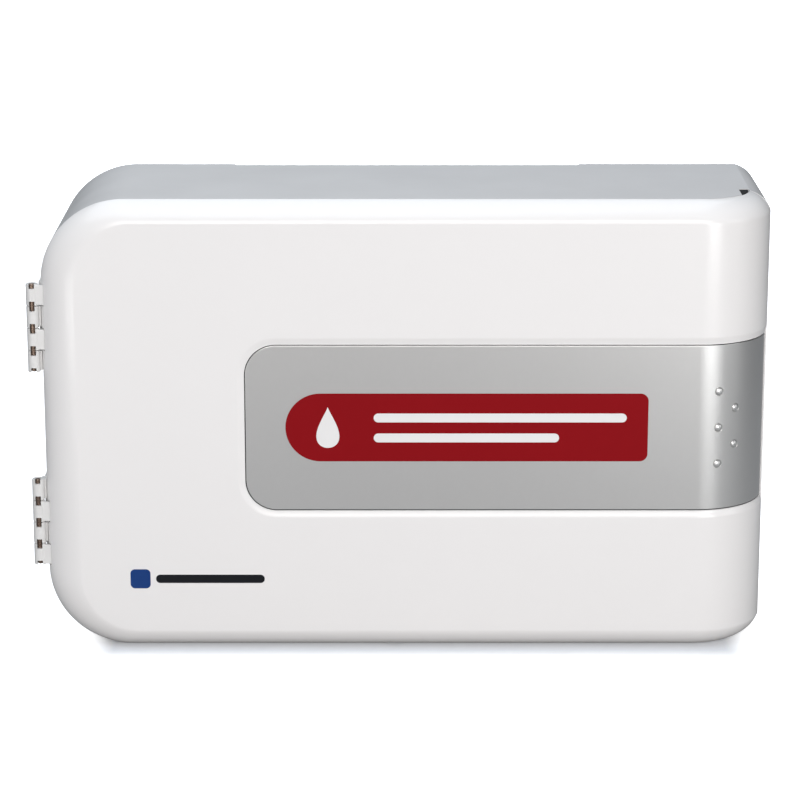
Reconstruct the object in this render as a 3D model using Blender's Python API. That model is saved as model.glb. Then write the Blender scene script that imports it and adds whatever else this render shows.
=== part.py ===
"""Wall cabinet for bleeding-control supplies, with a windlass tourniquet and dressings inside.

The frame: origin at the centre of the flat base, +X right, +Y towards the wall, +Z up.
All sizes below are in millimetres, and every mesh is scaled to metres at the end.
The door is modelled flat, as a closed shell with coordinates (run, depth, height), and is
then bent round the cabinet's right front corner, as the real moulding is shaped.
"""
import math

import bmesh
import bpy
from mathutils import Matrix, Vector

MM = 0.001
GAP = 0.3                    # clearance between pieces that touch
CYLINDER_SIDES = 16

# Cabinet outline
LEFT_X, RIGHT_X = -197.0, 197.0
HEIGHT = 250.0
FRONT_Y, SEAM_Y, BACK_Y = -57.5, -45.5, 58.5
SEAM_DEPTH = SEAM_Y - FRONT_Y
SEAM_GAP = 0.4
LEFT_CORNER_R = 45.0
CORNER_STEPS = 8
BODY_WALL = 2.8
BACK_WALL = 3.0
BACK_RELIEF = 4.0            # the rear standoffs carry the back wall this far off the wall
STANDOFF_INNER_X = 96.9
STANDOFF_WIDTH = 12.0
KEYHOLE_X, KEYHOLE_Z = 66.0, 200.0
NOTCH_LEFT, NOTCH_RIGHT = 179.6, 185.2       # the finger notch at the seam's upper end
NOTCH_FRONT, NOTCH_BACK = -36.0, -17.5

# Door
ROLL_HEIGHT = 10.5           # rounded edge along the top and the bottom
ROLL_SIDE = 18.0             # rounded edge along the hinge side
FLAT_CORNER_R = 32.0
ROLL_STEPS = 5
DOOR_WALL = 4.0
RIM_WALL = 3.0
WRAP_R = 40.0                # the front turns round the right corner with this radius
WRAP_STEPS = 10
WRAP_X, WRAP_Y = RIGHT_X - WRAP_R, FRONT_Y + WRAP_R
DOOR_END_Y = -23.5           # the door ends here on the cabinet's right side
DOOR_END_TURN = math.acos((WRAP_Y - DOOR_END_Y) / WRAP_R)
DOOR_END_RUN = WRAP_X + WRAP_R * DOOR_END_TURN

# Silver face panel and its recess
PANEL_LEFT, PANEL_LOW, PANEL_HIGH = -87.4, 80.4, 172.2
PANEL_CORNER_R = 16.5
PANEL_DEPTH = 1.0            # the panel's face lies this far behind the door's face
PANEL_THICK = 0.8
RECESS_DEPTH = PANEL_DEPTH + PANEL_THICK + GAP
RECESS_BORDER = 5.0          # the door's face slopes down to the panel over this width
DOME_R = 2.1
DOME_HIGH = 0.8
DOME_RUNS = (168.6, 179.1)   # two staggered columns: three domes, then two between them
DOME_MIDDLE = 126.2
DOME_PITCH = 20.3

# Label on the panel
LABEL_LEFT, LABEL_RIGHT, LABEL_LOW, LABEL_HIGH = -65.9, 130.0, 107.7, 145.7
LABEL_THICK = 0.3
LABEL_RIGHT_R = 4.3

# Hinges
AXIS_X, AXIS_Y = -201.8, SEAM_Y
BARREL_R = 3.35
PIN_R = 1.5
PIN_HOLE_R = 1.8
HINGE_HALF = 24.6
HINGE_HEIGHTS = {"upper": 179.6, "lower": 70.4}
KNUCKLES = 4
WINDOW_HALF_WIDE = 1.5
WINDOW_HALF_HIGH = 2.75
LEAF_SCREW_OFFSET = 15.0
BODY_SCREW_Y = -30.0         # the body leaf's screws go into the left wall here
DOOR_SCREW_X = -178.0        # the door leaf's screws go into the door here

# Screws
SHANK_R, HEAD_R, HEAD_HIGH = 1.4, 2.5, 1.5
SCREW_HOLE_R = 1.75
BOSS_R = 4.0

# Magnetic catch
CATCH_Z = 125.0
STRIKE_X, STRIKE_Y = 181.0, -24.0
STRIKE_THICK = 1.2
STRIKE_SCREW_OFFSET = 15.0
CATCH_SCREW_OFFSET = 21.0

# Compartment fittings and their contents
BOARD = 2.0
DIVIDER_X = -28.0            # the divider's right face
SHELF_TOP, SHELF_RIGHT = 110.0, 169.0
PACK_WIDTH, PACK_BACK = 88.0, 44.0
GAUZE_HEIGHT = 52.0
CRADLE_HALF = 32.0

# Tourniquet
STRAP_X = -112.0
WINDLASS_Z = 132.0
WINDLASS_Y = 9.0
WINDLASS_R = 4.5
WINDLASS_HALF = 63.0
WINDLASS_TILT = math.radians(20.0)

WHITE = (0.80, 0.80, 0.79)
COLOURS = {
    "white_abs": (WHITE, 0.28, 0.0),
    "hinge_plastic": ((0.62, 0.62, 0.61), 0.4, 0.0),
    "silver": ((0.50, 0.50, 0.49), 0.35, 0.9),
    "red": ((0.26, 0.008, 0.010), 0.35, 0.0),
    "steel": ((0.35, 0.33, 0.31), 0.35, 1.0),
    "magnet": ((0.08, 0.08, 0.08), 0.5, 0.0),
    "grey_plastic": ((0.30, 0.31, 0.32), 0.45, 0.0),
    "black_plastic": ((0.02, 0.02, 0.02), 0.45, 0.0),
    "black_webbing": ((0.015, 0.015, 0.017), 0.9, 0.0),
    "white_webbing": ((0.75, 0.75, 0.73), 0.9, 0.0),
    "olive_pack": ((0.12, 0.13, 0.07), 0.5, 0.0),
    "foil_pack": ((0.45, 0.45, 0.43), 0.4, 0.0),
}


def material(kind):
    """The Principled material of one kind of surface."""
    found = bpy.data.materials.get(kind)
    if found:
        return found
    colour, roughness, metallic = COLOURS[kind]
    made = bpy.data.materials.new(kind)
    made.use_nodes = True
    shader = made.node_tree.nodes["Principled BSDF"]
    shader.inputs["Base Color"].default_value = (*colour, 1.0)
    shader.inputs["Roughness"].default_value = roughness
    shader.inputs["Metallic"].default_value = metallic
    made.diffuse_color = (*colour, 1.0)
    return made


def finish(name, mesh_data, kind, parent=None):
    """Make one object from a bmesh, still in millimetres."""
    bmesh.ops.recalc_face_normals(mesh_data, faces=mesh_data.faces)
    mesh = bpy.data.meshes.new(name)
    mesh_data.to_mesh(mesh)
    mesh_data.free()
    mesh.materials.append(material(kind))
    made = bpy.data.objects.new(name, mesh)
    bpy.context.scene.collection.objects.link(made)
    smooth(made)
    if parent:
        attach(made, parent)
    return made


def smooth(piece):
    piece.data.shade_smooth()
    piece.data.set_sharp_from_angle(angle=math.radians(30))


def attach(piece, parent):
    """Parent a piece to its joint's empty and leave it where it is."""
    piece.parent = parent
    piece.matrix_parent_inverse = parent.matrix_world.inverted()


def to_metres():
    """Scale every finished mesh from millimetres to metres."""
    for piece in bpy.data.objects:
        if piece.type == "MESH":
            piece.data.transform(Matrix.Scale(MM, 4))


def joint_empty(name, place):
    empty = bpy.data.objects.new(name, None)
    empty.location = Vector(place) * MM
    bpy.context.scene.collection.objects.link(empty)
    bpy.context.view_layer.update()
    return empty


def combine(target, other, operation):
    """Apply a Boolean of two objects and drop the second one."""
    modifier = target.modifiers.new("combine", "BOOLEAN")
    modifier.operation = operation
    modifier.object = other
    bpy.context.view_layer.update()
    evaluated = target.evaluated_get(bpy.context.evaluated_depsgraph_get())
    mesh = bpy.data.meshes.new_from_object(evaluated)
    target.modifiers.clear()
    tidy_mesh(mesh)
    old = target.data
    target.data = mesh
    bpy.data.meshes.remove(old)
    mesh.name = target.name
    bpy.data.objects.remove(other)
    smooth(target)


def tidy_mesh(mesh):
    """Weld what a Boolean leaves closer than a micrometre, and keep plain triangles."""
    data = bmesh.new()
    data.from_mesh(mesh)
    bmesh.ops.triangulate(data, faces=data.faces[:])
    bmesh.ops.remove_doubles(data, verts=data.verts[:], dist=0.001)
    bmesh.ops.dissolve_degenerate(data, edges=data.edges[:], dist=0.001)
    data.to_mesh(mesh)
    data.free()


def cut(target, *cutters):
    for cutter in cutters:
        combine(target, cutter, "DIFFERENCE")


def add(target, *others):
    for other in others:
        combine(target, other, "UNION")


def block(low, high, name="block", kind="white_abs", bevel=0.0, parent=None):
    """A box between two corners, with its edges bevelled."""
    data = bmesh.new()
    bmesh.ops.create_cube(data, size=1.0)
    size = Vector(high) - Vector(low)
    bmesh.ops.scale(data, vec=size, verts=data.verts)
    bmesh.ops.translate(data, vec=(Vector(high) + Vector(low)) / 2, verts=data.verts)
    if bevel:
        bmesh.ops.bevel(data, geom=data.edges[:], offset=bevel, segments=2, profile=0.5,
                        affect="EDGES", clamp_overlap=True)
    return finish(name, data, kind, parent)


def turned(profile, base, axis, name="turned", kind="white_abs", sides=CYLINDER_SIDES, parent=None):
    """Turn (radius, distance) points about an axis through base; the ends lie on the axis."""
    data = bmesh.new()
    rings = []
    for radius, along in profile:
        if radius == 0.0:
            rings.append([data.verts.new((0.0, 0.0, along))])
            continue
        turns = [2 * math.pi * step / sides for step in range(sides)]
        rings.append([data.verts.new((radius * math.cos(t), radius * math.sin(t), along)) for t in turns])
    for lower, upper in zip(rings, rings[1:]):
        for step in range(sides):
            follow = (step + 1) % sides
            corners = [lower[step % len(lower)], lower[follow % len(lower)],
                       upper[follow % len(upper)], upper[step % len(upper)]]
            data.faces.new(list(dict.fromkeys(corners)))
    turn = Vector((0, 0, 1)).rotation_difference(Vector(axis)).to_matrix().to_4x4()
    bmesh.ops.transform(data, matrix=Matrix.Translation(Vector(base)) @ turn, verts=data.verts)
    return finish(name, data, kind, parent)


def rod(base, axis, length, radius, **named):
    """A plain cylinder."""
    return turned([(0.0, 0.0), (radius, 0.0), (radius, length), (0.0, length)], base, axis, **named)


def screw(name, seat, axis, length, parent=None):
    """A pan-head screw: seat is under the head, axis points to the tip."""
    rim = HEAD_R - 0.5
    profile = [(0.0, -HEAD_HIGH), (rim, -HEAD_HIGH), (HEAD_R, 0.5 - HEAD_HIGH), (HEAD_R, 0.0),
               (SHANK_R, 0.0), (SHANK_R, length - 1.0), (0.0, length)]
    return turned(profile, seat, axis, name=name, kind="steel", sides=16, parent=parent)


def prism(outline, low, high, axis="Y", name="prism", kind="white_abs", parent=None):
    """Extrude an outline of (X, Z) points along Y, or of (X, Y) points along Z."""
    data = bmesh.new()

    def corner(point, level):
        return (point[0], level, point[1]) if axis == "Y" else (point[0], point[1], level)

    ends = [[data.verts.new(corner(point, level)) for point in outline] for level in (low, high)]
    count = len(outline)
    data.faces.new(ends[0])
    data.faces.new(ends[1][::-1])
    for step in range(count):
        follow = (step + 1) % count
        data.faces.new((ends[0][step], ends[1][step], ends[1][follow], ends[0][follow]))
    return finish(name, data, kind, parent)


def arc(centre, radii, start, end, steps):
    """Points on an elliptical arc, in degrees, both ends included."""
    turns = [math.radians(start + (end - start) * step / steps) for step in range(steps + 1)]
    return [(centre[0] + radii[0] * math.cos(t), centre[1] + radii[1] * math.sin(t)) for t in turns]


def rounded(left, right, low, high, left_radii, right_radii, steps=CORNER_STEPS):
    """A rectangle with elliptical corners, one size on the left and one on the right."""
    (la, lb), (ra, rb) = left_radii, right_radii
    return (arc((left + la, high - lb), left_radii, 180, 90, steps)
            + arc((right - ra, high - rb), right_radii, 90, 0, steps)
            + arc((right - ra, low + rb), right_radii, 0, -90, steps)
            + arc((left + la, low + lb), left_radii, 270, 180, steps))


# ---------------------------------------------------------------- the door's bent shell

def bend(point):
    """Bend (run, depth, height) of the flat door to world X, Y, Z."""
    run, depth, height = point
    beyond = run - WRAP_X
    if beyond <= 0.0:
        return (run, FRONT_Y + depth, height)
    turn, radius = beyond / WRAP_R, WRAP_R - depth
    return (WRAP_X + radius * math.sin(turn), WRAP_Y - radius * math.cos(turn), height)


def bend_mesh(data):
    """Cut a flat mesh at the wrap's stations and bend it round the corner."""
    bmesh.ops.triangulate(data, faces=data.faces[:])
    for step in range(WRAP_STEPS):
        station = WRAP_X + (DOOR_END_RUN - WRAP_X) * step / WRAP_STEPS
        bmesh.ops.bisect_plane(data, geom=data.verts[:] + data.edges[:] + data.faces[:], dist=1e-4,
                               plane_co=(station, 0, 0), plane_no=(1, 0, 0))
    for vert in data.verts:
        vert.co = bend(vert.co)


def seam_pairs():
    """Pairs of (run, height): on the seam's outline, and on the flat face's edge beside it."""
    rim_r, flat_r = (LEFT_CORNER_R,) * 2, (FLAT_CORNER_R,) * 2
    flat_left, flat_low, flat_high = LEFT_X + ROLL_SIDE, ROLL_HEIGHT, HEIGHT - ROLL_HEIGHT
    rim_low = arc((LEFT_X + LEFT_CORNER_R, LEFT_CORNER_R), rim_r, 270, 180, CORNER_STEPS)
    rim_high = arc((LEFT_X + LEFT_CORNER_R, HEIGHT - LEFT_CORNER_R), rim_r, 180, 90, CORNER_STEPS)
    inner_low = arc((flat_left + FLAT_CORNER_R, flat_low + FLAT_CORNER_R), flat_r, 270, 180, CORNER_STEPS)
    inner_high = arc((flat_left + FLAT_CORNER_R, flat_high - FLAT_CORNER_R), flat_r, 180, 90, CORNER_STEPS)
    seam = [(DOOR_END_RUN, 0.0), *rim_low, *rim_high, (DOOR_END_RUN, HEIGHT)]
    flat = [(DOOR_END_RUN, flat_low), *inner_low, *inner_high, (DOOR_END_RUN, flat_high)]
    return list(zip(seam, flat))


def roll_rings(data, thickness, rim):
    """Rings of vertices from the seam to the flat face, on the shell's skin at this thickness."""
    rings = []
    for step in range(ROLL_STEPS + 1):
        turn = math.pi / 2 * step / ROLL_STEPS
        depth = SEAM_DEPTH - (SEAM_DEPTH - thickness) * math.sin(turn)
        ring = []
        for seam, flat in seam_pairs():
            reach = Vector(seam) - Vector(flat)
            reach *= (reach.length - rim) / reach.length * math.cos(turn)
            ring.append(data.verts.new((flat[0] + reach[0], depth, flat[1] + reach[1])))
        rings.append(ring)
    return rings


def bridge(data, first, second, closed=False):
    count = len(first)
    for step in range(count if closed else count - 1):
        follow = (step + 1) % count
        data.faces.new((first[step], first[follow], second[follow], second[step]))


def panel_path(data, grow, depth, end=DOOR_END_RUN):
    """The panel's outline, grown outwards, at one depth; it is open at the door's end."""
    radius = PANEL_CORNER_R + grow
    left, low, high = PANEL_LEFT - grow, PANEL_LOW - grow, PANEL_HIGH + grow
    path = [(end, low), *arc((left + radius, low + radius), (radius, radius), 270, 180, 6),
            *arc((left + radius, high - radius), (radius, radius), 180, 90, 6), (end, high)]
    return [data.verts.new((run, depth, height)) for run, height in path]


def door_shell(parent):
    """The white door: rolled edges, a recess for the face panel, and bosses for the hinges."""
    data = bmesh.new()
    outer, inner = roll_rings(data, 0.0, 0.0), roll_rings(data, DOOR_WALL, RIM_WALL)
    for rings in (outer, inner):
        for first, second in zip(rings, rings[1:]):
            bridge(data, first, second)
    bridge(data, outer[0], inner[0])
    data.faces.new(inner[-1])
    recess = [panel_path(data, RECESS_BORDER, 0.0), panel_path(data, GAP, PANEL_DEPTH),
              panel_path(data, GAP, RECESS_DEPTH)]
    for first, second in zip(recess, recess[1:]):
        bridge(data, first, second)
    data.faces.new(recess[-1])
    data.faces.new(outer[-1] + recess[0][::-1])
    profile = outer + recess
    end = [ring[0] for ring in profile] + [ring[-1] for ring in profile[::-1]]
    end += [ring[-1] for ring in inner] + [ring[0] for ring in inner[::-1]]
    data.faces.new(end)
    bmesh.ops.recalc_face_normals(data, faces=data.faces)
    bend_mesh(data)
    shell = finish("door_shell", data, "white_abs")
    inner_face = FRONT_Y + DOOR_WALL
    for centre in HINGE_HEIGHTS.values():
        for side in (-1, 1):
            seat = (DOOR_SCREW_X, inner_face - 1.0, centre + side * LEAF_SCREW_OFFSET)
            add(shell, rod(seat, (0, 1, 0), 1.0 + 5.2, BOSS_R))
            cut(shell, rod((seat[0], inner_face, seat[2]), (0, 1, 0), 10.0, SCREW_HOLE_R))
    for hinge, centre in HINGE_HEIGHTS.items():
        for low, high in knuckle_spans(hinge, "door"):
            cut(shell, block((-199, SEAM_Y - 2.9, centre + low - 0.2),
                             (-189, SEAM_Y + 1, centre + high + 0.2)))
    for side in (-1, 1):
        height = CATCH_Z + side * STRIKE_SCREW_OFFSET
        boss = rod((STRIKE_X, FRONT_Y, height), (0, 1, 0), STRIKE_Y - GAP - FRONT_Y, BOSS_R)
        combine(boss, rod((WRAP_X, WRAP_Y, 0), (0, 0, 1), HEIGHT, WRAP_R - 3.0, sides=64), "INTERSECT")
        add(shell, boss)
        cut(shell, rod((STRIKE_X, STRIKE_Y - 8.0, height), (0, 1, 0), 20.0, SCREW_HOLE_R))
    cut(shell, thumb_notch())
    attach(shell, parent)


def thumb_notch():
    """A shallow arch across the bottom seam: 11 wide and 1.6 high."""
    half_width, rise, middle = 5.5, 1.6, -7.6
    curve = arc((middle, 0.0), (half_width, rise), 180, 0, 6)
    outline = [(middle - half_width, -5.0), *curve, (middle + half_width, -5.0)]
    return prism(outline, SEAM_Y - 9.0, SEAM_Y + 5.0)


def face_panel(parent):
    """The satin panel that follows the door round the corner, with five raised domes."""
    data = bmesh.new()
    end = DOOR_END_RUN - GAP
    front = panel_path(data, 0.0, PANEL_DEPTH, end)
    back = panel_path(data, 0.0, PANEL_DEPTH + PANEL_THICK, end)
    bridge(data, back, front, closed=True)
    data.faces.new(back)
    data.faces.new(front)
    bmesh.ops.recalc_face_normals(data, faces=data.faces)
    bend_mesh(data)
    panel = finish("face_panel", data, "silver")
    for run, height in dome_places():
        seat = Vector(bend((run, PANEL_DEPTH + PANEL_THICK / 2, height)))
        outward = Vector(bend((run, 0.0, height))) - Vector(bend((run, 1.0, height)))
        top = PANEL_THICK / 2 + DOME_HIGH
        profile = [(0.0, 0.0), (DOME_R, 0.0), (DOME_R, top - DOME_HIGH), (DOME_R * 0.75, top - 0.3),
                   (0.0, top)]
        add(panel, turned(profile, seat, outward, sides=12))
    attach(panel, parent)


def dome_places():
    """(run, height) of the five domes."""
    outer, inner = DOME_RUNS
    return ([(outer, DOME_MIDDLE + step * DOME_PITCH) for step in (-1, 0, 1)]
            + [(inner, DOME_MIDDLE + step * DOME_PITCH) for step in (-0.5, 0.5)])


def face_label(parent):
    """The red film: a half-round left end and small corners on the right."""
    high = (LABEL_HIGH - LABEL_LOW) / 2
    outline = rounded(LABEL_LEFT, LABEL_RIGHT, LABEL_LOW, LABEL_HIGH,
                      (high, high - 0.01), (LABEL_RIGHT_R,) * 2, 10)
    back = FRONT_Y + PANEL_DEPTH - GAP
    prism(outline, back - LABEL_THICK, back, name="face_label", kind="red", parent=parent)


# ---------------------------------------------------------------- the cabinet body

def body_outline(inset):
    left = LEFT_CORNER_R - inset
    right = (SEAM_DEPTH - inset, ROLL_HEIGHT - inset)
    return rounded(LEFT_X + inset, RIGHT_X - inset, inset, HEIGHT - inset, (left, left), right)


def wrap_cutter():
    """What the door's wrapped corner takes out of the body: a prism over the full height."""
    radius, axis = WRAP_R - SEAM_DEPTH - SEAM_GAP, (WRAP_X, WRAP_Y)
    end = math.degrees(DOOR_END_TURN + SEAM_GAP / WRAP_R) - 90
    inner = arc(axis, (radius, radius), -90, end, WRAP_STEPS)
    outer = arc(axis, (WRAP_R, WRAP_R), end, 0, 2)
    outline = [(WRAP_X, FRONT_Y), *inner, *outer, (RIGHT_X + 10, WRAP_Y), (RIGHT_X + 10, FRONT_Y)]
    return prism(outline, -10, HEIGHT + 10, axis="Z")


def keyhole(centre_x, height):
    """A round entry with a narrow slot above it, through the back wall."""
    entry, slot = 4.6, 2.4
    cutter = rod((centre_x, 40, height), (0, 1, 0), 30, entry)
    add(cutter, block((centre_x - slot, 40, height), (centre_x + slot, 70, height + 12)))
    return cutter


def body_shell():
    """The white tub that hangs on the wall."""
    shell = prism(body_outline(0.0), SEAM_Y + SEAM_GAP, BACK_Y, name="body_shell")
    inside = BACK_Y - BACK_RELIEF - BACK_WALL
    cut(shell, prism(body_outline(BODY_WALL), FRONT_Y, inside))
    cut(shell, wrap_cutter())
    relief = BACK_Y - BACK_RELIEF
    outer = STANDOFF_INNER_X + STANDOFF_WIDTH
    cut(shell, block((-STANDOFF_INNER_X, relief, -9), (STANDOFF_INNER_X, BACK_Y + 5, HEIGHT + 9)))
    for low, high in ((LEFT_X + 12, -outer), (outer, RIGHT_X - 12)):
        corner = LEFT_CORNER_R if low < 0 else 12
        cut(shell, block((low, relief, corner), (high, BACK_Y + 5, HEIGHT - corner)))
    cut(shell, keyhole(-KEYHOLE_X, KEYHOLE_Z), keyhole(KEYHOLE_X, KEYHOLE_Z))
    for centre in HINGE_HEIGHTS.values():
        for side in (-1, 1):
            height = centre + side * LEAF_SCREW_OFFSET
            start = LEFT_X + BODY_WALL - 1.0
            add(shell, rod((start, BODY_SCREW_Y, height), (1, 0, 0), 7.0, BOSS_R))
            cut(shell, rod((LEFT_X - 5, BODY_SCREW_Y, height), (1, 0, 0), 20, SCREW_HOLE_R))
    bore_y = STRIKE_Y + STRIKE_THICK + 17.7
    for side in (-1, 1):
        cut(shell, rod((190, bore_y, CATCH_Z + side * CATCH_SCREW_OFFSET), (1, 0, 0), 5.8, SCREW_HOLE_R))
    cut(shell, thumb_notch())
    cut(shell, finger_notch())


def finger_notch():
    """The small wedge in the body's top front edge, where the seam turns to the right side."""
    outline = [(NOTCH_LEFT, NOTCH_FRONT), (NOTCH_RIGHT, NOTCH_FRONT), (NOTCH_RIGHT, NOTCH_BACK),
               (NOTCH_LEFT, NOTCH_BACK)]
    return prism(outline, HEIGHT - 6, HEIGHT + 5, axis="Z")


# ---------------------------------------------------------------- the hinges

def knuckle_spans(hinge, leaf):
    """Heights of one leaf's knuckles, from the hinge's middle. The two hinges are mirrored."""
    pitch = 2 * HINGE_HALF / KNUCKLES
    top_down = range(KNUCKLES) if hinge == "upper" else range(KNUCKLES - 1, -1, -1)
    spans = []
    for place, step in enumerate(top_down):
        high = HINGE_HALF - place * pitch
        owner = "door" if step % 2 == 0 else "body"
        if owner == leaf:
            spans.append((high - pitch + GAP / 2, high - GAP / 2))
    return spans


def drill_barrel(leaf, centre):
    """The pin's bore, and the windows at the knuckles' ends that show the pin."""
    cut(leaf, rod((AXIS_X, AXIS_Y, centre - 40), (0, 0, 1), 80, PIN_HOLE_R))
    pitch = 2 * HINGE_HALF / KNUCKLES
    for step in range(KNUCKLES + 1):
        height = centre - HINGE_HALF + step * pitch
        cut(leaf, block((AXIS_X - WINDOW_HALF_WIDE, AXIS_Y - 6, height - WINDOW_HALF_HIGH),
                        (AXIS_X + WINDOW_HALF_WIDE, AXIS_Y - 1.0, height + WINDOW_HALF_HIGH)))


def hinge_leaf(hinge, centre, side, parent):
    """One moulded leaf: its knuckles, the arms to its plate, and the plate."""
    if side == "body":
        plate_low = (LEFT_X - 1.8, -41.0, centre - HINGE_HALF)
        plate_high = (LEFT_X - GAP, -22.0, centre + HINGE_HALF)
        arm_low, arm_high = (-200.6, -45.0), (LEFT_X - GAP, -39.0)
        bore_from, bore_axis = (LEFT_X - 6, BODY_SCREW_Y), (1, 0, 0)
    else:
        plate_low = (-189.0, SEAM_Y - 2.5, centre - HINGE_HALF)
        plate_high = (-171.0, SEAM_Y - 0.4, centre + HINGE_HALF)
        arm_low, arm_high = (-201.0, SEAM_Y - 2.5), (-187.0, SEAM_Y - 0.4)
        bore_from, bore_axis = (DOOR_SCREW_X, SEAM_Y - 6), (0, 1, 0)
    leaf = block(plate_low, plate_high, name=f"hinge_{hinge}_{side}_leaf", kind="hinge_plastic")
    for low, high in knuckle_spans(hinge, side):
        add(leaf, block((*arm_low, centre + low + 0.2), (*arm_high, centre + high - 0.2)))
        add(leaf, rod((AXIS_X, AXIS_Y, centre + low), (0, 0, 1), high - low, BARREL_R))
    drill_barrel(leaf, centre)
    for place in (-1, 1):
        base = (*bore_from, centre + place * LEAF_SCREW_OFFSET)
        cut(leaf, rod(base, bore_axis, 12, SCREW_HOLE_R))
    if parent:
        attach(leaf, parent)


def hinge(name, centre, door):
    """Both leaves, the steel pin and four screws."""
    hinge_leaf(name, centre, "body", None)
    hinge_leaf(name, centre, "door", door)
    pin_half = HINGE_HALF - 0.4
    length = 2 * pin_half
    profile = [(0, 0), (PIN_R - 0.3, 0), (PIN_R, 0.3), (PIN_R, length - 0.3), (PIN_R - 0.3, length),
               (0, 2 * pin_half)]
    turned(profile, (AXIS_X, AXIS_Y, centre - pin_half), (0, 0, 1), name=f"hinge_{name}_pin", kind="steel")
    for place, word in ((1, "top"), (-1, "bottom")):
        height = centre + place * LEAF_SCREW_OFFSET
        screw(f"hinge_{name}_body_screw_{word}", (LEFT_X - 1.8 - GAP, BODY_SCREW_Y, height), (1, 0, 0), 8.5)
        seat = (DOOR_SCREW_X, SEAM_Y - 0.1, height)
        screw(f"hinge_{name}_door_screw_{word}", seat, (0, -1, 0), 6.5, door)


# ---------------------------------------------------------------- the magnetic catch

def catch(door):
    """The magnet in its housing on the right wall, and the strike plate on the door's two bosses."""
    wall = RIGHT_X - BODY_WALL - GAP
    front = STRIKE_Y + STRIKE_THICK + 0.7
    housing = block((174, front, CATCH_Z - 9), (wall, front + 13, CATCH_Z + 9), name="catch_housing",
                    kind="grey_plastic")
    add(housing, block((wall - 2.2, front + 1, CATCH_Z - 26), (wall - 0.1, front + 24, CATCH_Z + 26)))
    cut(housing, block((176.5, front - 5, CATCH_Z - 6.5), (187.5, front + 10, CATCH_Z + 6.5)))
    block((176.8, front - 0.4, CATCH_Z - 6.2), (187.2, front + 9.7, CATCH_Z + 6.2), name="catch_magnet",
          kind="magnet", bevel=0.3)
    strike = block((STRIKE_X - 7, STRIKE_Y, CATCH_Z - 20),
                   (STRIKE_X + 7, STRIKE_Y + STRIKE_THICK, CATCH_Z + 20), name="catch_strike", kind="steel")
    for side, word in ((-1, "bottom"), (1, "top")):
        height = CATCH_Z + side * CATCH_SCREW_OFFSET
        cut(housing, rod((185, front + 17, height), (1, 0, 0), 20, SCREW_HOLE_R))
        screw(f"catch_screw_{word}", (wall - 2.2 - GAP, front + 17, height), (1, 0, 0), 3.8)
        height = CATCH_Z + side * STRIKE_SCREW_OFFSET
        cut(strike, rod((STRIKE_X, STRIKE_Y - 5, height), (0, 1, 0), 12, SCREW_HOLE_R))
        seat = (STRIKE_X, STRIKE_Y + STRIKE_THICK + GAP, height)
        screw(f"strike_screw_{word}", seat, (0, -1, 0), 7.0, door)
    attach(strike, door)


# ---------------------------------------------------------------- what the cabinet holds

def fittings():
    """The divider between the bays, and the bench shelf in the right bay."""
    back = BACK_Y - BACK_RELIEF - BACK_WALL - GAP
    low, high = BODY_WALL + GAP, HEIGHT - BODY_WALL - GAP
    block((DIVIDER_X - BOARD, -34, low), (DIVIDER_X, back, high), name="bay_divider", bevel=0.4)
    left, right, front = DIVIDER_X + GAP, SHELF_RIGHT, -26
    shelf = block((left, front, SHELF_TOP - BOARD), (right, back, SHELF_TOP), name="bench_shelf")
    for side in (left, right - BOARD):
        add(shelf, block((side, front, low), (side + BOARD, back, SHELF_TOP - BOARD / 2)))
    smooth(shelf)


def dressing(name, low, high, kind):
    """A vacuum-packed dressing: a pillow with a flat sealed edge at each end."""
    block(low, high, name=name, kind=kind, bevel=6.0)


def dressings():
    """Two pressure dressings under the shelf, two gauze packs on it, and the glove pouch on top."""
    floor, shelf = BODY_WALL + 2 * GAP, SHELF_TOP + GAP
    for place in range(2):
        left = -22 + place * 97
        right = left + PACK_WIDTH
        dressing(f"pressure_dressing_{place + 1}", (left, -20, floor), (right, PACK_BACK, floor + 78),
                 "olive_pack")
        dressing(f"gauze_pack_{place + 1}", (left, -16, shelf), (right, PACK_BACK, shelf + GAUZE_HEIGHT),
                 "foil_pack")
    pouch_floor = shelf + GAUZE_HEIGHT + 2 * GAP
    dressing("glove_pouch", (-16, -12, pouch_floor), (78, 40, pouch_floor + 21.1), "olive_pack")


def cradle():
    """The tray that holds the folded tourniquet on the back wall."""
    back = BACK_Y - BACK_RELIEF - BACK_WALL - GAP
    front, floor, top, wall = 24, 36, 214, 2.2
    left, right = STRAP_X - CRADLE_HALF, STRAP_X + CRADLE_HALF
    tray = block((left, back - 2.0, floor), (right, back, top), name="tourniquet_cradle",
                 kind="grey_plastic")
    for side in (left, right - wall):
        add(tray, block((side, front, floor), (side + wall, back, top)))
    add(tray, block((left, front, floor - wall), (right, back, floor + 0.5)))


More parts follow.
